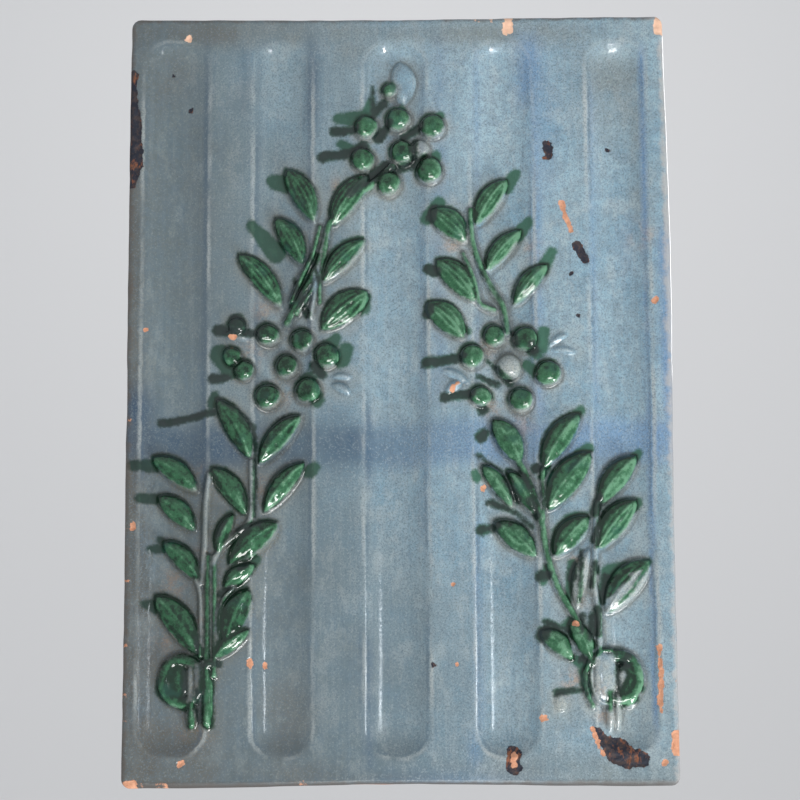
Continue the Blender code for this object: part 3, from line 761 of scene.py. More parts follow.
def relax(grid, relief, u, v, rim):
    """Slide the corners over the surface, so that steep edges get their share of them."""
    edges = edge_table(grid)
    count = np.bincount(edges.ravel(), minlength=len(u)).astype(float)
    free = np.ones(len(u), bool)
    free[rim] = False
    for _ in range(RELAX_ROUNDS):
        height = relief.evaluate(u, v)["height"]
        moved = []
        for values in (u, v, height):
            total = np.bincount(edges[:, 0], values[edges[:, 1]], len(u))
            total += np.bincount(edges[:, 1], values[edges[:, 0]], len(u))
            moved.append(total / count)
        u = np.where(free, 0.5 * u + 0.5 * moved[0], u)
        v = np.where(free, 0.5 * v + 0.5 * moved[1], v)
    return u, v


def blurred(raster, sigma):
    """A Gaussian blur of a raster, one axis after the other."""
    reach = int(3 * sigma) + 1
    weights = np.exp(-0.5 * (np.arange(-reach, reach + 1) / sigma) ** 2)
    weights /= weights.sum()
    for axis in (0, 1):
        padded = np.pad(raster, [(reach, reach) if k == axis else (0, 0) for k in (0, 1)], mode="edge")
        total = np.zeros_like(raster)
        for k, weight in enumerate(weights):
            window = [slice(None), slice(None)]
            window[axis] = slice(k, k + raster.shape[axis])
            total += weight * padded[tuple(window)]
        raster = total
    return raster


def hollows(relief, u, v):
    """How far the surface lies above or under its own blur, and how steeply it faces the upper left."""
    step = RASTER
    us = np.arange(LEFT_SIDE, RIGHT_SIDE + step, step)
    vs = np.arange(0, HEIGHT + step, step)
    grid_u, grid_v = np.meshgrid(us, vs, indexing="ij")
    raster = relief.evaluate(grid_u.ravel(), grid_v.ravel())["height"].reshape(grid_u.shape)
    fine = raster - blurred(raster, 1.1 / step)
    across, up = np.gradient(blurred(raster, 0.5 / step), step)
    lean = np.clip(0.6 * across - 0.8 * up, -1.2, 1.2)
    x, y = np.clip((u - us[0]) / step, 0, len(us) - 1.001), np.clip(v / step, 0, len(vs) - 1.001)
    i, j = x.astype(int), y.astype(int)
    return [between(source, (i, i + 1), (j, j + 1), x - i, y - j) for source in (fine, lean)]


def world(u, v, depth):
    """World places from drawing places and millimetres behind the frame of the face."""
    x = TILE_LOW.x + (np.asarray(u) - LEFT_SIDE) * MM
    z = TILE_LOW.z + np.asarray(v) * MM
    y = (-COLLAR_DEPTH - PLATE + np.asarray(depth)) * MM
    return np.stack(np.broadcast_arrays(x, y, z), -1)


def back_ring(inset, corner, depth, uneven):
    """A rounded rectangle round the tile's back in a set number of points.

    They run anticlockwise, as the drawing is seen, from the lower left.
    """
    corner = max(corner, 0.4)
    left, right = LEFT_SIDE + inset, RIGHT_SIDE - inset
    lower, upper = inset, HEIGHT - inset
    points = []
    runs = [
        ((left + corner, lower), (right - corner, lower), (right - corner, lower + corner), -90, RING_ACROSS),
        ((right, lower + corner), (right, upper - corner), (right - corner, upper - corner), 0, RING_UP),
        ((right - corner, upper), (left + corner, upper), (left + corner, upper - corner), 90, RING_ACROSS),
        ((left, upper - corner), (left, lower + corner), (left + corner, lower + corner), 180, RING_UP),
    ]
    for start, end, centre, angle, count in runs:
        for k in range(count):
            share = k / count
            points.append((start[0] + (end[0] - start[0]) * share, start[1] + (end[1] - start[1]) * share))
        for k in range(RING_CORNER):
            turn = math.radians(angle + 90 * k / RING_CORNER)
            points.append((centre[0] + corner * math.cos(turn), centre[1] + corner * math.sin(turn)))
    u, v = np.array(points).T
    wobble = uneven * noise(u + 3 * depth, v + 2 * depth, 24, 60)
    wobble = wobble + 0.4 * uneven * noise(u + depth, v - depth, 7, 61)
    middle_u, middle_v = (left + right) / 2, (lower + upper) / 2
    u = u - np.sign(u - middle_u) * np.abs(wobble)
    v = v - np.sign(v - middle_v) * np.abs(wobble)
    return u, v, np.full(len(u), float(depth))


def zip_rings(near, near_share, far, far_share):
    """Triangles between two rings with different numbers of points, matched by their shares."""
    faces = []
    i = j = 0
    while i < len(near) or j < len(far):
        next_near = near_share[i + 1] if i + 1 < len(near) else 1.0
        next_far = far_share[j + 1] if j + 1 < len(far) else 1.0
        a, b = near[i % len(near)], far[j % len(far)]
        if j >= len(far) or (i < len(near) and next_near <= next_far):
            faces.append((a, b, near[(i + 1) % len(near)]))
            i += 1
        else:
            faces.append((a, b, far[(j + 1) % len(far)]))
            j += 1
    return faces


def ring_shares(points):
    """Each point's share of the way round its ring."""
    steps = np.linalg.norm(np.roll(points, -1, 0) - points, axis=1)
    return np.concatenate([[0], np.cumsum(steps)[:-1]]) / steps.sum()


def quarter(*turns):
    """How far a quarter round still has to go one way, and has gone the other, at angles in degrees."""
    for turn in turns:
        angle = math.radians(turn)
        yield 1 - math.sin(angle), 1 - math.cos(angle)


class Skin:
    """Collects the rings behind the face and joins them to it.

    Each point has a run, which grows from the face round to the back, and a source, the point of
    the face that it takes its painting from.
    """

    def __init__(self, grid, u, v, field):
        self.grid = grid
        self.rim = grid.rim()
        self.points = [world(u, v, -field["height"])]
        self.count = len(u)
        self.faces = [tuple(face) for face in grid.quads.tolist() + grid.fans.tolist()]
        self.run = [np.zeros(len(u))]
        self.source = [np.arange(len(u))]
        self.rim_u, self.rim_v = u[self.rim], v[self.rim]
        self.rim_drop = -field["height"][self.rim]

    def add(self, points, run, source):
        """Take in a ring of points, and give their numbers."""
        numbers = list(range(self.count, self.count + len(points)))
        self.points.append(points)
        self.run.append(np.full(len(points), float(run)))
        self.source.append(source)
        self.count += len(points)
        return numbers

    def extend(self, near, points, run, source):
        """A new ring, joined by quads to one with the same number of points."""
        far = self.add(points, run, source)
        for k in range(len(near)):
            n = (k + 1) % len(near)
            self.faces.append((near[k], far[k], far[n], near[n]))
        return far

    def outward(self):
        """The direction straight out of the outline at each point of the rim."""
        du = np.roll(self.rim_u, -1) - np.roll(self.rim_u, 1)
        dv = np.roll(self.rim_v, -1) - np.roll(self.rim_v, 1)
        length = np.hypot(du, dv)
        return dv / length, -du / length

    def wrap_edge(self):
        """The rounded arris and the side of the plate, in rings as fine as the face's edge."""
        out_u, out_v = self.outward()
        source = np.array(self.rim)
        near = self.rim
        for turn in (30, 60, 90):
            angle = math.radians(turn)
            out = FACE_ROUNDING * math.sin(angle)
            drop = FACE_ROUNDING * (1 - math.cos(angle))
            u, v = self.rim_u + out_u * out, self.rim_v + out_v * out
            u, v = np.clip(u, LEFT_SIDE, RIGHT_SIDE), np.clip(v, 0, HEIGHT)
            fade = 1 - turn / 90
            near = self.extend(near, world(u, v, drop + self.rim_drop * fade), turn / 30, source)
        for depth in SIDE_RINGS:
            rough = 0.22 * np.abs(noise(self.rim_u + 3 * depth, self.rim_v - 2 * depth, 5, 71))
            u = np.clip(self.rim_u + out_u * (FACE_ROUNDING - rough), LEFT_SIDE, RIGHT_SIDE)
            v = np.clip(self.rim_v + out_v * (FACE_ROUNDING - rough), 0, HEIGHT)
            near = self.extend(near, world(u, v, depth), depth + 1, source)
        return near

    def wrap_back(self, near):
        """The plate's back, the collar with its rim, and the hollow, in coarser rings."""
        side = self.points[-1]
        ring = back_ring(1.2, PLATE_CORNER, PLATE, 0.3)
        points = world(*ring)
        source = np.full(len(points), self.rim[0])
        far = self.add(points, PLATE + 2, source)
        self.faces += zip_rings(near, ring_shares(side), far, ring_shares(points))
        near = far
        run = PLATE + 2
        for inset, corner, depth, uneven in self.back_profile():
            run += 3
            near = self.extend(near, world(*back_ring(inset, corner, depth, uneven)), run, source)
        self.cap(near)

    @staticmethod
    def back_profile():
        """Inset, corner radius, depth and unevenness of each ring, from the back's edge to the floor."""
        collar, inner = COLLAR_INSET, COLLAR_INSET + COLLAR_WALL
        corner, inner_corner = COLLAR_CORNER, COLLAR_CORNER - COLLAR_WALL
        end = PLATE + COLLAR_DEPTH
        root, straight = PLATE + COLLAR_FILLET, COLLAR_DEPTH - COLLAR_FILLET
        yield 4.0, 6.0, PLATE, 0.3
        yield 6.5, 10.0, PLATE, 0.5
        for near, far in quarter(10, 35, 60, 90):
            yield collar - COLLAR_FILLET * near, corner, PLATE + COLLAR_FILLET * far, 0.8
        for share in (0.25, 0.45, 0.65, 0.82):
            yield collar, corner, root + share * straight, 0.9
        for near, far in quarter(0, 30, 60, 90):
            yield collar + RIM_ROUNDING * far, corner, end - RIM_ROUNDING * near, 0.7
        for near, far in quarter(90, 60, 30, 0):
            yield inner - RIM_ROUNDING * far, inner_corner, end - RIM_ROUNDING * near, -0.5
        for share in (0.8, 0.6, 0.4, 0.2):
            yield inner, inner_corner, root + share * straight, 0.8
        for near, far in quarter(90, 60, 30, 0):
            yield inner + COLLAR_FILLET * near, inner_corner, PLATE + COLLAR_FILLET * far, 0.8
        last = inner + COLLAR_FILLET
        for step in range(1, FLOOR_RINGS + 1):
            dent = 0.5 * math.sin(1.7 * step) + 0.3 * math.sin(2.9 * step)
            yield last + FLOOR_STEP * step, inner_corner, PLATE + 0.35 * dent - 0.3, 0.6

    def cap(self, ring):
        """Close the hollow's floor: quads between the long sides, and one many-sided face at each end."""
        across = RING_ACROSS
        rows = len(ring) // 2 - across
        self.faces.append(tuple(reversed(ring[:across + 2] + ring[-1:])))
        for k in range(1, rows - 1):
            self.faces.append((ring[-k], ring[-k - 1], ring[across + k + 1], ring[across + k]))
        self.faces.append(tuple(reversed(ring[across + rows - 1:2 * across + rows + 2])))


def make_skin():
    """The tile's skin as one closed mesh, with its painting kept as distances on its corners."""
    relief = Relief()
    grid = FaceGrid(relief)
    u, v = bow_outline(*round_corners(*grid.places(grid.i, grid.j)))
    u, v = relax(grid, relief, u, v, grid.rim())
    field = relief.evaluate(u, v)
    field["height"] = np.minimum(field["height"], BERRY_HEIGHT + 0.2)
    fine, lean = hollows(relief, u, v)
    skin = Skin(grid, u, v, field)
    near = skin.wrap_edge()
    skin.wrap_back(near)
    source = np.concatenate(skin.source)
    run = np.concatenate(skin.run)
    behind = np.clip(run / 3, 0, 1)
    values = {name: field[name][source] for name in PAINTING}
    values["warm"], values["smoky"] = [stain[source] for stain in firing_stains(u, v)]
    for name in ("green", "dark"):
        values[name] = np.clip(values[name] + 0.8 * run, -FAR, FAR)
    values["crease"] = fine[source] * (1 - behind)
    values["lean"] = lean[source] * (1 - behind)
    values["run"] = run
    values["arris"] = arris_distance(u, v)[source] * (1 - behind)
    halo = np.exp(-np.clip(field["raised"], 0, FAR) / 4) * smooth_step(-1.0, 2.5, field["bract"])
    values["halo"] = halo[source] * (1 - behind)
    values["cobalt"] = cobalt_amount(u, v)[source]
    values["flute"] = np.where(run > 0, -FAR, field["flute"][source])
    mesh = bpy.data.meshes.new("glazed_tile")
    mesh.from_pydata(np.concatenate(skin.points).tolist(), [], skin.faces)
    mesh.validate()
    for name, numbers in values.items():
        layer = mesh.attributes.new(name, "FLOAT", "POINT")
        layer.data.foreach_set("value", np.asarray(numbers, np.float32))
    mesh.shade_smooth()
    tile = bpy.data.objects.new("glazed_tile", mesh)
    bpy.context.scene.collection.objects.link(tile)
    return tile


def firing_stains(u, v):
    """How far the ground glaze is tan, and how far it is smoky."""
    warm, smoky = np.zeros(u.shape), np.zeros(u.shape)
    for spot_u, spot_v, radius in WARM_SPOTS:
        warm = np.maximum(warm, np.exp(-((u - spot_u) ** 2 + (v - spot_v) ** 2) / radius ** 2))
    for spot_u, spot_v, half_width, half_height, strength in SMOKY_SPOTS:
        share = ((u - spot_u) / half_width) ** 2 + ((v - spot_v) / half_height) ** 2
        smoky = np.maximum(smoky, strength * np.exp(-share ** 1.3))
    return warm, smoky


def arris_distance(u, v):
    """Distance from the tile's outline, on the face."""
    across = np.minimum(u - LEFT_SIDE, RIGHT_SIDE - 1.5 - u)
    return np.clip(np.minimum(across, np.minimum(v, HEIGHT - v)), 0, 12)


def cobalt_amount(u, v):
    """How much the ground glaze runs to cobalt: a soft band across, and pooled lines beside the arrises."""
    middle, half, soft = COBALT_BAND
    centre = middle + 2.5 * noise(u, 0 * u, 30, 81)
    band = smooth_step(half + soft, half - soft, np.abs(v - centre)) * (0.8 + 0.2 * noise(u, v, 18, 82))
    amount = 0.95 * band
    for line_u, low, high, half_width, strength in COBALT_LINES:
        reach = smooth_step(low - 8, low + 8, v) * smooth_step(high + 8, high - 8, v)
        sway = 0.5 * noise(v, 0 * v, 17, 83)
        amount = np.maximum(amount, strength * reach * np.exp(-((u + sway - line_u) / half_width) ** 2))
    return np.clip(amount, 0, 1)


# Where the painting changes across and up the tile, from none to full, in metres from its frame
LOW_GROUND = (0.165, 0.02)
LEFT_GROUND = (0.045, -0.105)
LEFT_RIM = (-0.100, -0.108)
LEFT_RIM_UP = (0.150, 0.110)
HEM = (0.004, -0.014)
LEFT_COBALT = (0.06, -0.03)
UNDER_FLUTE_ENDS = (0.292, 0.270)
LEFT_GREEN = (0.02, -0.06)
FAR_LEFT_GREEN = (-0.070, -0.095)
CLAY_PAINTED_LIGHT = (0.270, 0.302)
RIGHT_ARRIS = (0.105, 0.112)
FOOT = (-0.0165, -0.0190)


class Paint:
    """Short names for the shader nodes that the glaze is built from."""

    def __init__(self, material):
        self.tree = material.node_tree
        self.coordinates = self.tree.nodes.new("ShaderNodeTexCoord").outputs["Object"]
        place = self.tree.nodes.new("ShaderNodeSeparateXYZ")
        self.tree.links.new(self.coordinates, place.inputs[0])
        self.across, self.up = place.outputs["X"], place.outputs["Z"]

    def link(self, source, socket):
        """Feed a socket from another node, or set it to a number or a colour."""
        if isinstance(source, (int, float)):
            socket.default_value = source
        elif isinstance(source, tuple):
            socket.default_value = (*source, 1.0)
        else:
            self.tree.links.new(source, socket)

    def value(self, name):
        """One of the numbers kept on the mesh's corners."""
        node = self.tree.nodes.new("ShaderNodeAttribute")
        node.attribute_name = name
        return node.outputs["Fac"]

    def math(self, operation, a, b):
        node = self.tree.nodes.new("ShaderNodeMath")
        node.operation = operation
        self.link(a, node.inputs[0])
        self.link(b, node.inputs[1])
        return node.outputs[0]

    def plus(self, a, b):
        return self.math("ADD", a, b)

    def times(self, a, b):
        return self.math("MULTIPLY", a, b)

    def swing(self, noise, middle=0.5):
        """A noise as a number round nought."""
        return self.math("SUBTRACT", noise, middle)

    def ramp(self, source, low, high, to_low=0.0, to_high=1.0):
        """A smooth step of a number between two values."""
        node = self.tree.nodes.new("ShaderNodeMapRange")
        node.interpolation_type = "SMOOTHSTEP"
        self.link(source, node.inputs["Value"])
        for socket, number in zip(("From Min", "From Max", "To Min", "To Max"), (low, high, to_low, to_high)):
            node.inputs[socket].default_value = number
        return node.outputs["Result"]

    def mix(self, amount, a, b):
        node = self.tree.nodes.new("ShaderNodeMix")
        node.data_type = "RGBA"
        self.link(amount, node.inputs["Factor"])
        self.link(a, node.inputs["A"])
        self.link(b, node.inputs["B"])
        return node.outputs["Result"]

    def over(self, colour, amount, strength, tone):
        """A tone laid over a colour, by an amount and a strength."""
        return self.mix(self.times(amount, strength), colour, tone)

    def veil(self, colour, source, low, high, most, tone):
        """A tone laid over a colour, from none to most, as a number goes from low to high."""
        return self.mix(self.ramp(source, low, high, 0.0, most), colour, tone)

    def patch(self, colour, source, low, high, strength, tone):
        """A tone laid over a colour where a number has gone from low to high."""
        return self.over(colour, self.ramp(source, low, high), strength, tone)

    def noise(self, size, detail, roughness, shift=0.0, upward=1):
        """Noise with features about size millimetres across, drawn out upwards where upward is under one."""
        mapping = self.tree.nodes.new("ShaderNodeMapping")
        mapping.inputs["Scale"].default_value = (1, 1, upward)
        mapping.inputs["Location"].default_value = (shift, 0.3 * shift, 0.7 * shift)
        self.tree.links.new(self.coordinates, mapping.inputs["Vector"])
        node = self.tree.nodes.new("ShaderNodeTexNoise")
        node.inputs["Scale"].default_value = 1 / (size * MM)
        node.inputs["Detail"].default_value = detail
        node.inputs["Roughness"].default_value = roughness
        self.tree.links.new(mapping.outputs["Vector"], node.inputs["Vector"])
        return node.outputs["Fac"]

    def spots(self, size, share):
        """Round spots with soft edges: where a cell's middle is nearer than a share of the cell."""
        softness = 0.06
        node = self.tree.nodes.new("ShaderNodeTexVoronoi")
        node.inputs["Scale"].default_value = 1 / (size * MM)
        self.tree.links.new(self.coordinates, node.inputs["Vector"])
        return self.ramp(node.outputs["Distance"], share + softness, share - softness)


def ground_colour(paint):
    """Blue-grey tin and cobalt glaze: clouded, streaked down the flutes, pooled dark beside the arrises."""
    clouds = paint.noise(38, 3, 0.6)
    colour = paint.mix(paint.ramp(clouds, 0.35, 0.65), (0.203, 0.352, 0.455), (0.290, 0.440, 0.528))
    drift = paint.times(paint.swing(paint.noise(60, 2, 0.5, 0.9)), 0.12)
    # Darker and duller towards the left and the bottom: partly the glaze's own tone, partly painted shade
    # where the light falls off
    lowness = paint.ramp(paint.plus(paint.up, drift), *LOW_GROUND)
    sideways = paint.math("SUBTRACT", paint.plus(paint.across, drift), paint.times(lowness, 0.030))
    leftness = paint.ramp(sideways, *LEFT_GROUND)
    dull_and_shaded = paint.mix(lowness, (0.108, 0.144, 0.156), (0.085, 0.096, 0.093))
    colour = paint.over(colour, leftness, 0.96, dull_and_shaded)
    colour = paint.over(colour, lowness, 0.30, (0.110, 0.190, 0.245))
    left_rim = paint.times(paint.ramp(paint.across, *LEFT_RIM), paint.ramp(paint.up, *LEFT_RIM_UP, 0.25, 1.0))
    colour = paint.over(colour, left_rim, 0.6, (0.042, 0.034, 0.027))
    hem = paint.ramp(paint.plus(paint.up, paint.times(drift, 0.2)), *HEM)
    colour = paint.over(colour, hem, 0.45, (0.080, 0.120, 0.138))
    # Each colour below has a darker copy towards the left: partly the glaze's own tone, partly painted shade
    thin = paint.mix(leftness, (0.39, 0.47, 0.50), (0.215, 0.258, 0.266))
    streaks = paint.noise(2.2, 3, 0.65, 0.2, 0.04)
    colour = paint.veil(colour, streaks, 0.42, 0.72, 0.3, thin)
    lines = paint.noise(1.4, 2, 0.6, 1.7, 0.06)
    colour = paint.veil(colour, lines, 0.5, 0.75, 0.28, (0.10, 0.17, 0.24))
    mottle = paint.noise(4.5, 4, 0.75, 0.6)
    colour = paint.veil(colour, mottle, 0.42, 0.62, 0.42, (0.130, 0.190, 0.235))
    blotch = paint.noise(8, 4, 0.7, 6.9, 0.6)
    colour = paint.veil(colour, blotch, 0.50, 0.66, 0.5, thin)
    smoke = paint.ramp(paint.noise(24, 4, 0.65, 1.3), 0.36, 0.62)
    haze = paint.times(paint.value("smoky"), paint.ramp(smoke, 0.0, 1.0, 0.5, 1.0))
    brown = paint.mix(leftness, (0.175, 0.190, 0.175), (0.098, 0.088, 0.074))
    colour = paint.over(colour, haze, 0.9, brown)
    patchy = paint.ramp(paint.noise(12, 3, 0.65, 3.1), 0.25, 0.6)
    halo = paint.times(paint.value("halo"), patchy)
    lilac = paint.mix(leftness, (0.365, 0.385, 0.350), (0.150, 0.148, 0.119))
    colour = paint.over(colour, halo, 0.8, lilac)
    warm = paint.times(paint.value("warm"), paint.ramp(paint.noise(5, 3, 0.65, 4.7), 0.36, 0.6))
    tan = paint.mix(leftness, (0.430, 0.310, 0.225), (0.225, 0.165, 0.125))
    colour = paint.over(colour, warm, 0.8, tan)
    clay = paint.mix(leftness, (0.340, 0.345, 0.305), (0.150, 0.148, 0.128))
    colour = paint.patch(colour, paint.value("berry"), 3.5, 0.5, 0.5, clay)
    broken = paint.ramp(paint.noise(6, 3, 0.6, 5.1, 0.3), 0.2, 0.6, 0.6, 1.0)
    cobalt = paint.times(paint.value("cobalt"), broken)
    blue = paint.mix(paint.ramp(paint.across, *LEFT_COBALT), (0.125, 0.250, 0.450), (0.028, 0.066, 0.122))
    colour = paint.over(colour, cobalt, 0.85, blue)
    # Pale lines along the flutes' arrises: thin glaze on the edge and a painted highlight; dark pooled glaze
    # beside them
    flute = paint.plus(paint.value("flute"), paint.times(paint.swing(mottle), 2.2))
    pale = paint.times(paint.ramp(flute, -2.2, -0.7), paint.ramp(flute, 0.5, -0.3))
    wear_and_glint = paint.ramp(paint.noise(14, 3, 0.65, 6.3, 0.35), 0.40, 0.64, 0.03, 1.0)
    wear_and_glint = paint.times(wear_and_glint, paint.ramp(paint.up, *UNDER_FLUTE_ENDS, 0.35, 1.0))
    colour = paint.over(colour, paint.times(pale, wear_and_glint), 0.6, (0.43, 0.46, 0.45))
    pooled = paint.times(paint.ramp(flute, 0.2, 0.9), paint.ramp(flute, 2.4, 1.0))
    colour = paint.over(colour, paint.times(pooled, wear_and_glint), 0.5, (0.075, 0.115, 0.155))
    # Thin on the ridges; darker in the creases, from pooled glaze and painted shade; then specks and the dark
    # and light grain
    colour = paint.patch(colour, paint.value("crease"), 0.05, 0.55, 0.4, (0.33, 0.37, 0.36))
    colour = paint.patch(colour, paint.value("crease"), -0.04, -0.45, 0.5, (0.075, 0.076, 0.064))
    colour = paint.over(colour, paint.spots(1.9, 0.14), 0.4, (0.06, 0.07, 0.08))
    colour = paint.veil(colour, paint.noise(0.7, 2, 0.8, 5.9), 0.44, 0.66, 0.6, (0.095, 0.135, 0.165))
    return paint.veil(colour, paint.noise(0.9, 2, 0.8, 7.9), 0.52, 0.70, 0.45, thin)


def green_colour(paint):
    """Copper green: pale where it is thin on the crowns, near black where it has pooled; painted shade also
    darkens it in hollows, on faces turned up and to the left, along upper left edges and towards the left.
    """
    leftness = paint.ramp(paint.across, *LEFT_GREEN)
    thickness_and_shade = paint.noise(3.4, 4, 0.75, 7.3)
    # Darker in hollows, paler on ridges: pooled and thin glaze, with painted shade in the hollows
    thickness_and_shade = paint.plus(thickness_and_shade, paint.ramp(paint.value("crease"), -0.6, 0.6, 0.38, -0.34))
    thickness_and_shade = paint.plus(thickness_and_shade, paint.ramp(paint.value("green"), -0.9, -3.2, 0.13, -0.05))
    thickness_and_shade = paint.plus(thickness_and_shade, paint.ramp(paint.value("berry"), 0.6, -0.4, 0.0, 0.15))
    # Darker towards the left: partly the green's own tone, partly painted shade
    thickness_and_shade = paint.plus(thickness_and_shade, paint.times(leftness, 0.13))
    # Darker on faces turned up and to the left, away from the light: partly glaze run thick, partly painted
    # shade
    thickness_and_shade = paint.plus(thickness_and_shade, paint.times(paint.value("lean"), 0.20))
    # Dark along the relief's upper left edges: pooled glaze and painted shadow
    thickness_and_shade = paint.plus(thickness_and_shade, paint.ramp(paint.value("pool_and_shade"), 1.2, -1.0, 0.03, 0.26))
    colour = paint.mix(paint.ramp(thickness_and_shade, 0.16, 0.44), (0.112, 0.258, 0.154), (0.029, 0.108, 0.052))
    colour = paint.mix(paint.ramp(thickness_and_shade, 0.42, 0.70), colour, (0.007, 0.026, 0.014))
    colour = paint.patch(colour, paint.noise(11, 2, 0.6, 8.1), 0.54, 0.7, 0.4, (0.018, 0.085, 0.066))
    wash = paint.ramp(paint.value("halo"), 0.90, 0.64, 0.0, 0.75)
    washed = paint.mix(leftness, (0.030, 0.128, 0.074), (0.018, 0.066, 0.042))
    # The wash goes near black at the far left: partly its own tone, partly painted shade
    washed = paint.mix(paint.ramp(paint.across, *FAR_LEFT_GREEN), washed, (0.005, 0.024, 0.017))
    return paint.mix(wash, colour, washed)


def clay_colour(paint):
    """The red body, dirty in its pores, with painted light making it paler towards the tile's top."""
    colour = paint.mix(paint.noise(4, 4, 0.65, 9.7), (0.42, 0.140, 0.065), (0.80, 0.45, 0.29))
    colour = paint.patch(colour, paint.noise(0.8, 3, 0.7, 10.9), 0.55, 0.7, 0.5, (0.28, 0.10, 0.06))
    # Painted light: the clay lighter towards the top, as if more brightly lit
    return paint.veil(colour, paint.up, *CLAY_PAINTED_LIGHT, 0.75, (0.92, 0.62, 0.45))


def soot_colour(paint):
    """An old scar: blue-black glaze and soot with the clay showing in streaks."""
    sooty = paint.ramp(paint.noise(3.2, 3, 0.7, 20.1), 0.45, 0.62)
    colour = paint.mix(sooty, (0.014, 0.017, 0.030), (0.048, 0.035, 0.036))
    return paint.patch(colour, paint.noise(2.6, 3, 0.7, 26.3, 0.5), 0.50, 0.66, 0.8, (0.270, 0.095, 0.040))


def back_colour(paint):
    """The unglazed back: red clay under a film of soot and old bedding clay."""
    colour = paint.mix(paint.noise(21, 3, 0.65, 12.5), (0.42, 0.165, 0.088), (0.56, 0.27, 0.160))
    # Bedding clay, soot, wiped streaks and pores
    for noise_of, low, high, strength, tone in (
        ((17, 4, 0.7, 14.1), 0.52, 0.68, 0.55, (0.46, 0.37, 0.28)),
        ((33, 4, 0.65, 15.9), 0.45, 0.7, 0.75, (0.055, 0.045, 0.040)),
        ((3.0, 3, 0.7, 28.1, 0.08), 0.5, 0.72, 0.35, (0.60, 0.36, 0.24)),
        ((1.0, 2, 0.75, 29.7), 0.54, 0.68, 0.55, (0.13, 0.060, 0.040)),
    ):
        colour = paint.patch(colour, paint.noise(*noise_of), low, high, strength, tone)
    return colour


def glazed_earthenware():
    """The glaze, its painting and damage, and the bare back, as one material."""
    material = bpy.data.materials.new("glazed_earthenware")
    material.use_nodes = True
    paint = Paint(material)
    shader = material.node_tree.nodes["Principled BSDF"]
    edge = paint.swing(paint.noise(1.5, 3, 0.6, 17.3))
    wide = paint.swing(paint.noise(4.5, 3, 0.6, 18.9))
    wander = paint.plus(paint.times(edge, 1.6), paint.times(wide, 1.8))
    colour = ground_colour(paint)
    green = paint.ramp(paint.plus(paint.value("green"), wander), 1.1, -0.75)
    cover = paint.times(green, paint.ramp(paint.value("halo"), 0.64, 0.90, 0.92, 1.0))
    colour = paint.mix(cover, colour, green_colour(paint))
    patchy = paint.times(paint.swing(paint.noise(5.5, 2, 0.6, 19.3), 0.42), 3.0)
    dark = paint.ramp(paint.plus(paint.value("dark"), paint.plus(wander, patchy)), 1.1, -0.9)
    pooled = paint.mix(paint.noise(4.2, 2, 0.6, 22.9), (0.007, 0.023, 0.016), (0.027, 0.031, 0.035))
    colour = paint.over(colour, dark, 0.9, pooled)
    # Worn arrises, dark brown on the left, top and bottom; the pale grey on the right arris is partly worn
    # glaze and partly a painted highlight
    wear_and_glint = paint.ramp(paint.plus(paint.value("arris"), paint.times(wide, 6.0)), 3.0, 0.4)
    wear_and_glint = paint.times(wear_and_glint, paint.ramp(paint.value("run"), 4.0, 2.0))
    rubbed_and_highlit = paint.mix(paint.ramp(paint.across, *RIGHT_ARRIS), (0.115, 0.092, 0.075), (0.42, 0.40, 0.38))
    colour = paint.over(colour, wear_and_glint, 0.7, rubbed_and_highlit)
    foot = paint.ramp(paint.up, *FOOT)
    colour = paint.over(colour, foot, 0.8, (0.070, 0.065, 0.062))
    old, fresh = [paint.ramp(paint.plus(paint.value(chip), paint.times(edge, 1.8)), 0.2, -0.15)
                  for chip in ("old", "fresh")]
    colour = paint.mix(old, colour, soot_colour(paint))
    colour = paint.mix(fresh, colour, clay_colour(paint))
    bare = paint.ramp(paint.plus(paint.value("run"), paint.times(wide, 9.0)), 5.0, 7.0)
    colour = paint.mix(bare, colour, back_colour(paint))
    paint.link(colour, shader.inputs["Base Color"])
    rough = old
    for other in (fresh, bare, paint.times(foot, 0.7)):
        rough = paint.math("MAXIMUM", rough, other)
    sheen = paint.ramp(paint.noise(7, 2, 0.6, 21.7), 0.3, 0.75, 0.09, 0.19)
    sheen = paint.math("SUBTRACT", sheen, paint.times(green, 0.04))
    lifted = paint.times(rough, 0.68)
    paint.link(paint.plus(sheen, lifted), shader.inputs["Roughness"])
    shader.inputs["IOR"].default_value = 1.52
    paint.link(bumps(paint, rough), shader.inputs["Normal"])
    return material


def bumps(paint, rough):
    """Orange peel and pinholes in the glaze, and a gritty surface where the clay is bare."""
    peel = paint.noise(2.2, 2, 0.55, 23.3)
    pin = paint.times(paint.spots(3.1, 0.10), -0.6)
    glaze = paint.plus(paint.times(peel, 0.5), pin)
    grit = paint.times(paint.noise(0.7, 3, 0.7, 24.7), 3.5)
    height = paint.plus(glaze, paint.times(grit, rough))
    node = paint.tree.nodes.new("ShaderNodeBump")
    node.inputs["Strength"].default_value = 0.8
    node.inputs["Distance"].default_value = 0.12 * MM
    paint.link(height, node.inputs["Height"])
    return node.outputs["Normal"]


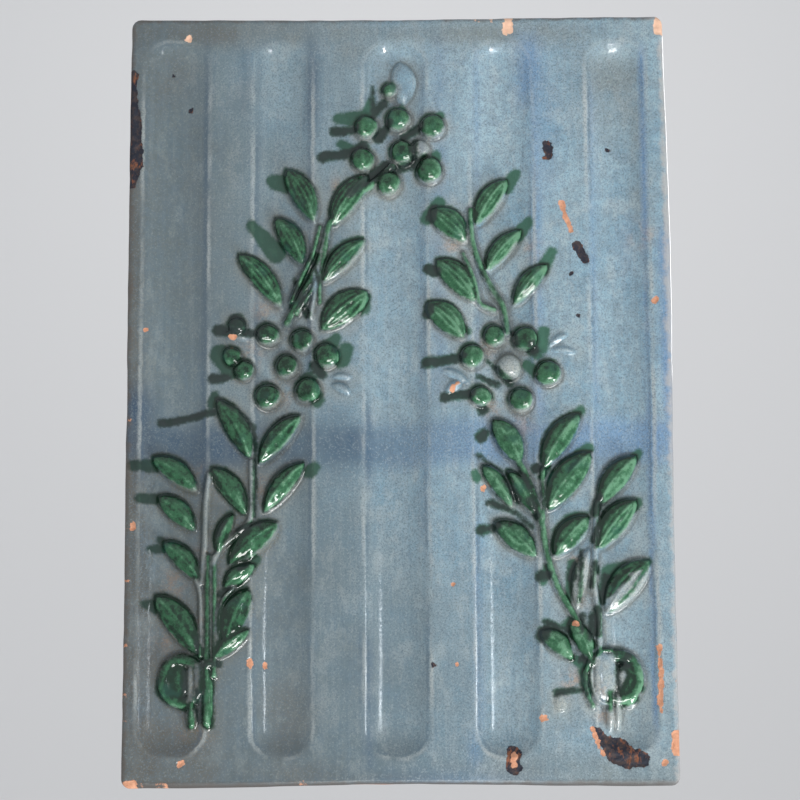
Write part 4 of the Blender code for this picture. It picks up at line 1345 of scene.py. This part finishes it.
def pale_stage():
    """A pale floor, far below the tile, that curves up far behind it."""
    floor, back, rise, reach, bend = -1.9, 2.6, 2.6, 9.0, 0.6
    profile = [(-reach, floor)]
    for step in range(13):
        turn = math.radians(90 * step / 12)
        profile.append((back - bend + bend * math.sin(turn), floor + bend - bend * math.cos(turn)))
    profile.append((back, rise))
    points, faces = [], []
    for side in (-reach, reach):
        points += [(side, y, z) for y, z in profile]
    count = len(profile)
    for k in range(count - 1):
        faces.append((k, k + 1, count + k + 1, count + k))
    mesh = bpy.data.meshes.new("pale_stage")
    mesh.from_pydata(points, [], faces)
    mesh.shade_smooth()
    material = bpy.data.materials.new("pale_paper")
    material.use_nodes = True
    shader = material.node_tree.nodes["Principled BSDF"]
    shader.inputs["Base Color"].default_value = (0.62, 0.62, 0.625, 1.0)
    shader.inputs["Roughness"].default_value = 0.9
    mesh.materials.append(material)
    stage = bpy.data.objects.new("pale_stage", mesh)
    bpy.context.scene.collection.objects.link(stage)


def soft_light(name, place, aim, size, power, tint=(1.0, 1.0, 1.0), spread=180):
    """A rectangular light, aimed at a place and unseen by the camera."""
    lamp = bpy.data.lights.new(name, "AREA")
    lamp.shape = "RECTANGLE"
    lamp.spread = math.radians(spread)
    lamp.size, lamp.size_y = size
    lamp.energy = power
    lamp.color = tint
    light = bpy.data.objects.new(name, lamp)
    light.location = place
    light.rotation_euler = (Vector(aim) - Vector(place)).to_track_quat("-Z", "Y").to_euler()
    light.visible_camera = False
    bpy.context.scene.collection.objects.link(light)


def studio():
    """Low windows, narrow beams on the flutes, a pale room, and fill behind for the other views."""
    world_light = bpy.data.worlds.new("studio")
    world_light.use_nodes = True
    background = world_light.node_tree.nodes["Background"]
    background.inputs["Color"].default_value = (0.93, 0.96, 1.0, 1.0)
    background.inputs["Strength"].default_value = 0.60
    bpy.context.scene.world = world_light
    middle = (0.0, -0.06, 0.145)
    soft_light("low_window", (0.60, -1.75, -1.15), middle, (0.95, 0.55), 30, (1.0, 0.99, 0.97))
    soft_light("grazing_window", (0.95, -0.50, -1.05), middle, (0.50, 0.28), 17)
    lower_flutes, upper_flutes = (0.010, -0.06, 0.032), (0.015, -0.06, 0.292)
    soft_light("side_window", (0.55, -1.05, 0.06), lower_flutes, (0.14, 0.14), 0.0028, (0.88, 0.95, 1.0), 9)
    soft_light("glint", (0.26, -1.12, -0.213), upper_flutes, (0.06, 0.05), 0.016, spread=20)
    soft_light("behind", (0.9, 1.5, 0.9), middle, (0.9, 0.9), 14)
    soft_light("backdrop", (0.0, 0.9, 1.5), (0.0, 2.6, 0.1), (1.6, 0.6), 16)


# Camera of the photograph: a little nearer the bottom edge, looking slightly up at the face
CAMERA_PLACE = (0.0033, -0.9695, -0.0077)
CAMERA_TURN = -0.214
CAMERA_RISE = 9.293
CAMERA_ROLL = -0.31
CAMERA_LENS = 98.3


def photo_camera():
    """The camera of the photograph."""
    data = bpy.data.cameras.new("camera")
    data.lens = CAMERA_LENS
    data.sensor_width = 36.0
    data.clip_start, data.clip_end = 0.05, 50
    camera = bpy.data.objects.new("camera", data)
    turn, rise = math.radians(CAMERA_TURN), math.radians(CAMERA_RISE)
    looking = Vector((math.sin(turn) * math.cos(rise), math.cos(turn) * math.cos(rise), math.sin(rise)))
    facing = looking.to_track_quat("-Z", "Y").to_matrix().to_4x4()
    roll = Matrix.Rotation(math.radians(CAMERA_ROLL), 4, "Z")
    camera.matrix_world = Matrix.Translation(CAMERA_PLACE) @ facing @ roll
    bpy.context.scene.collection.objects.link(camera)
    bpy.context.scene.camera = camera


def main():
    photo_camera()
    tile = make_skin()
    tile.data.materials.append(glazed_earthenware())
    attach(tile, "root")
    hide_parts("tile")
    pale_stage()
    studio()
    bpy.context.scene.view_settings.view_transform = "Standard"


main()
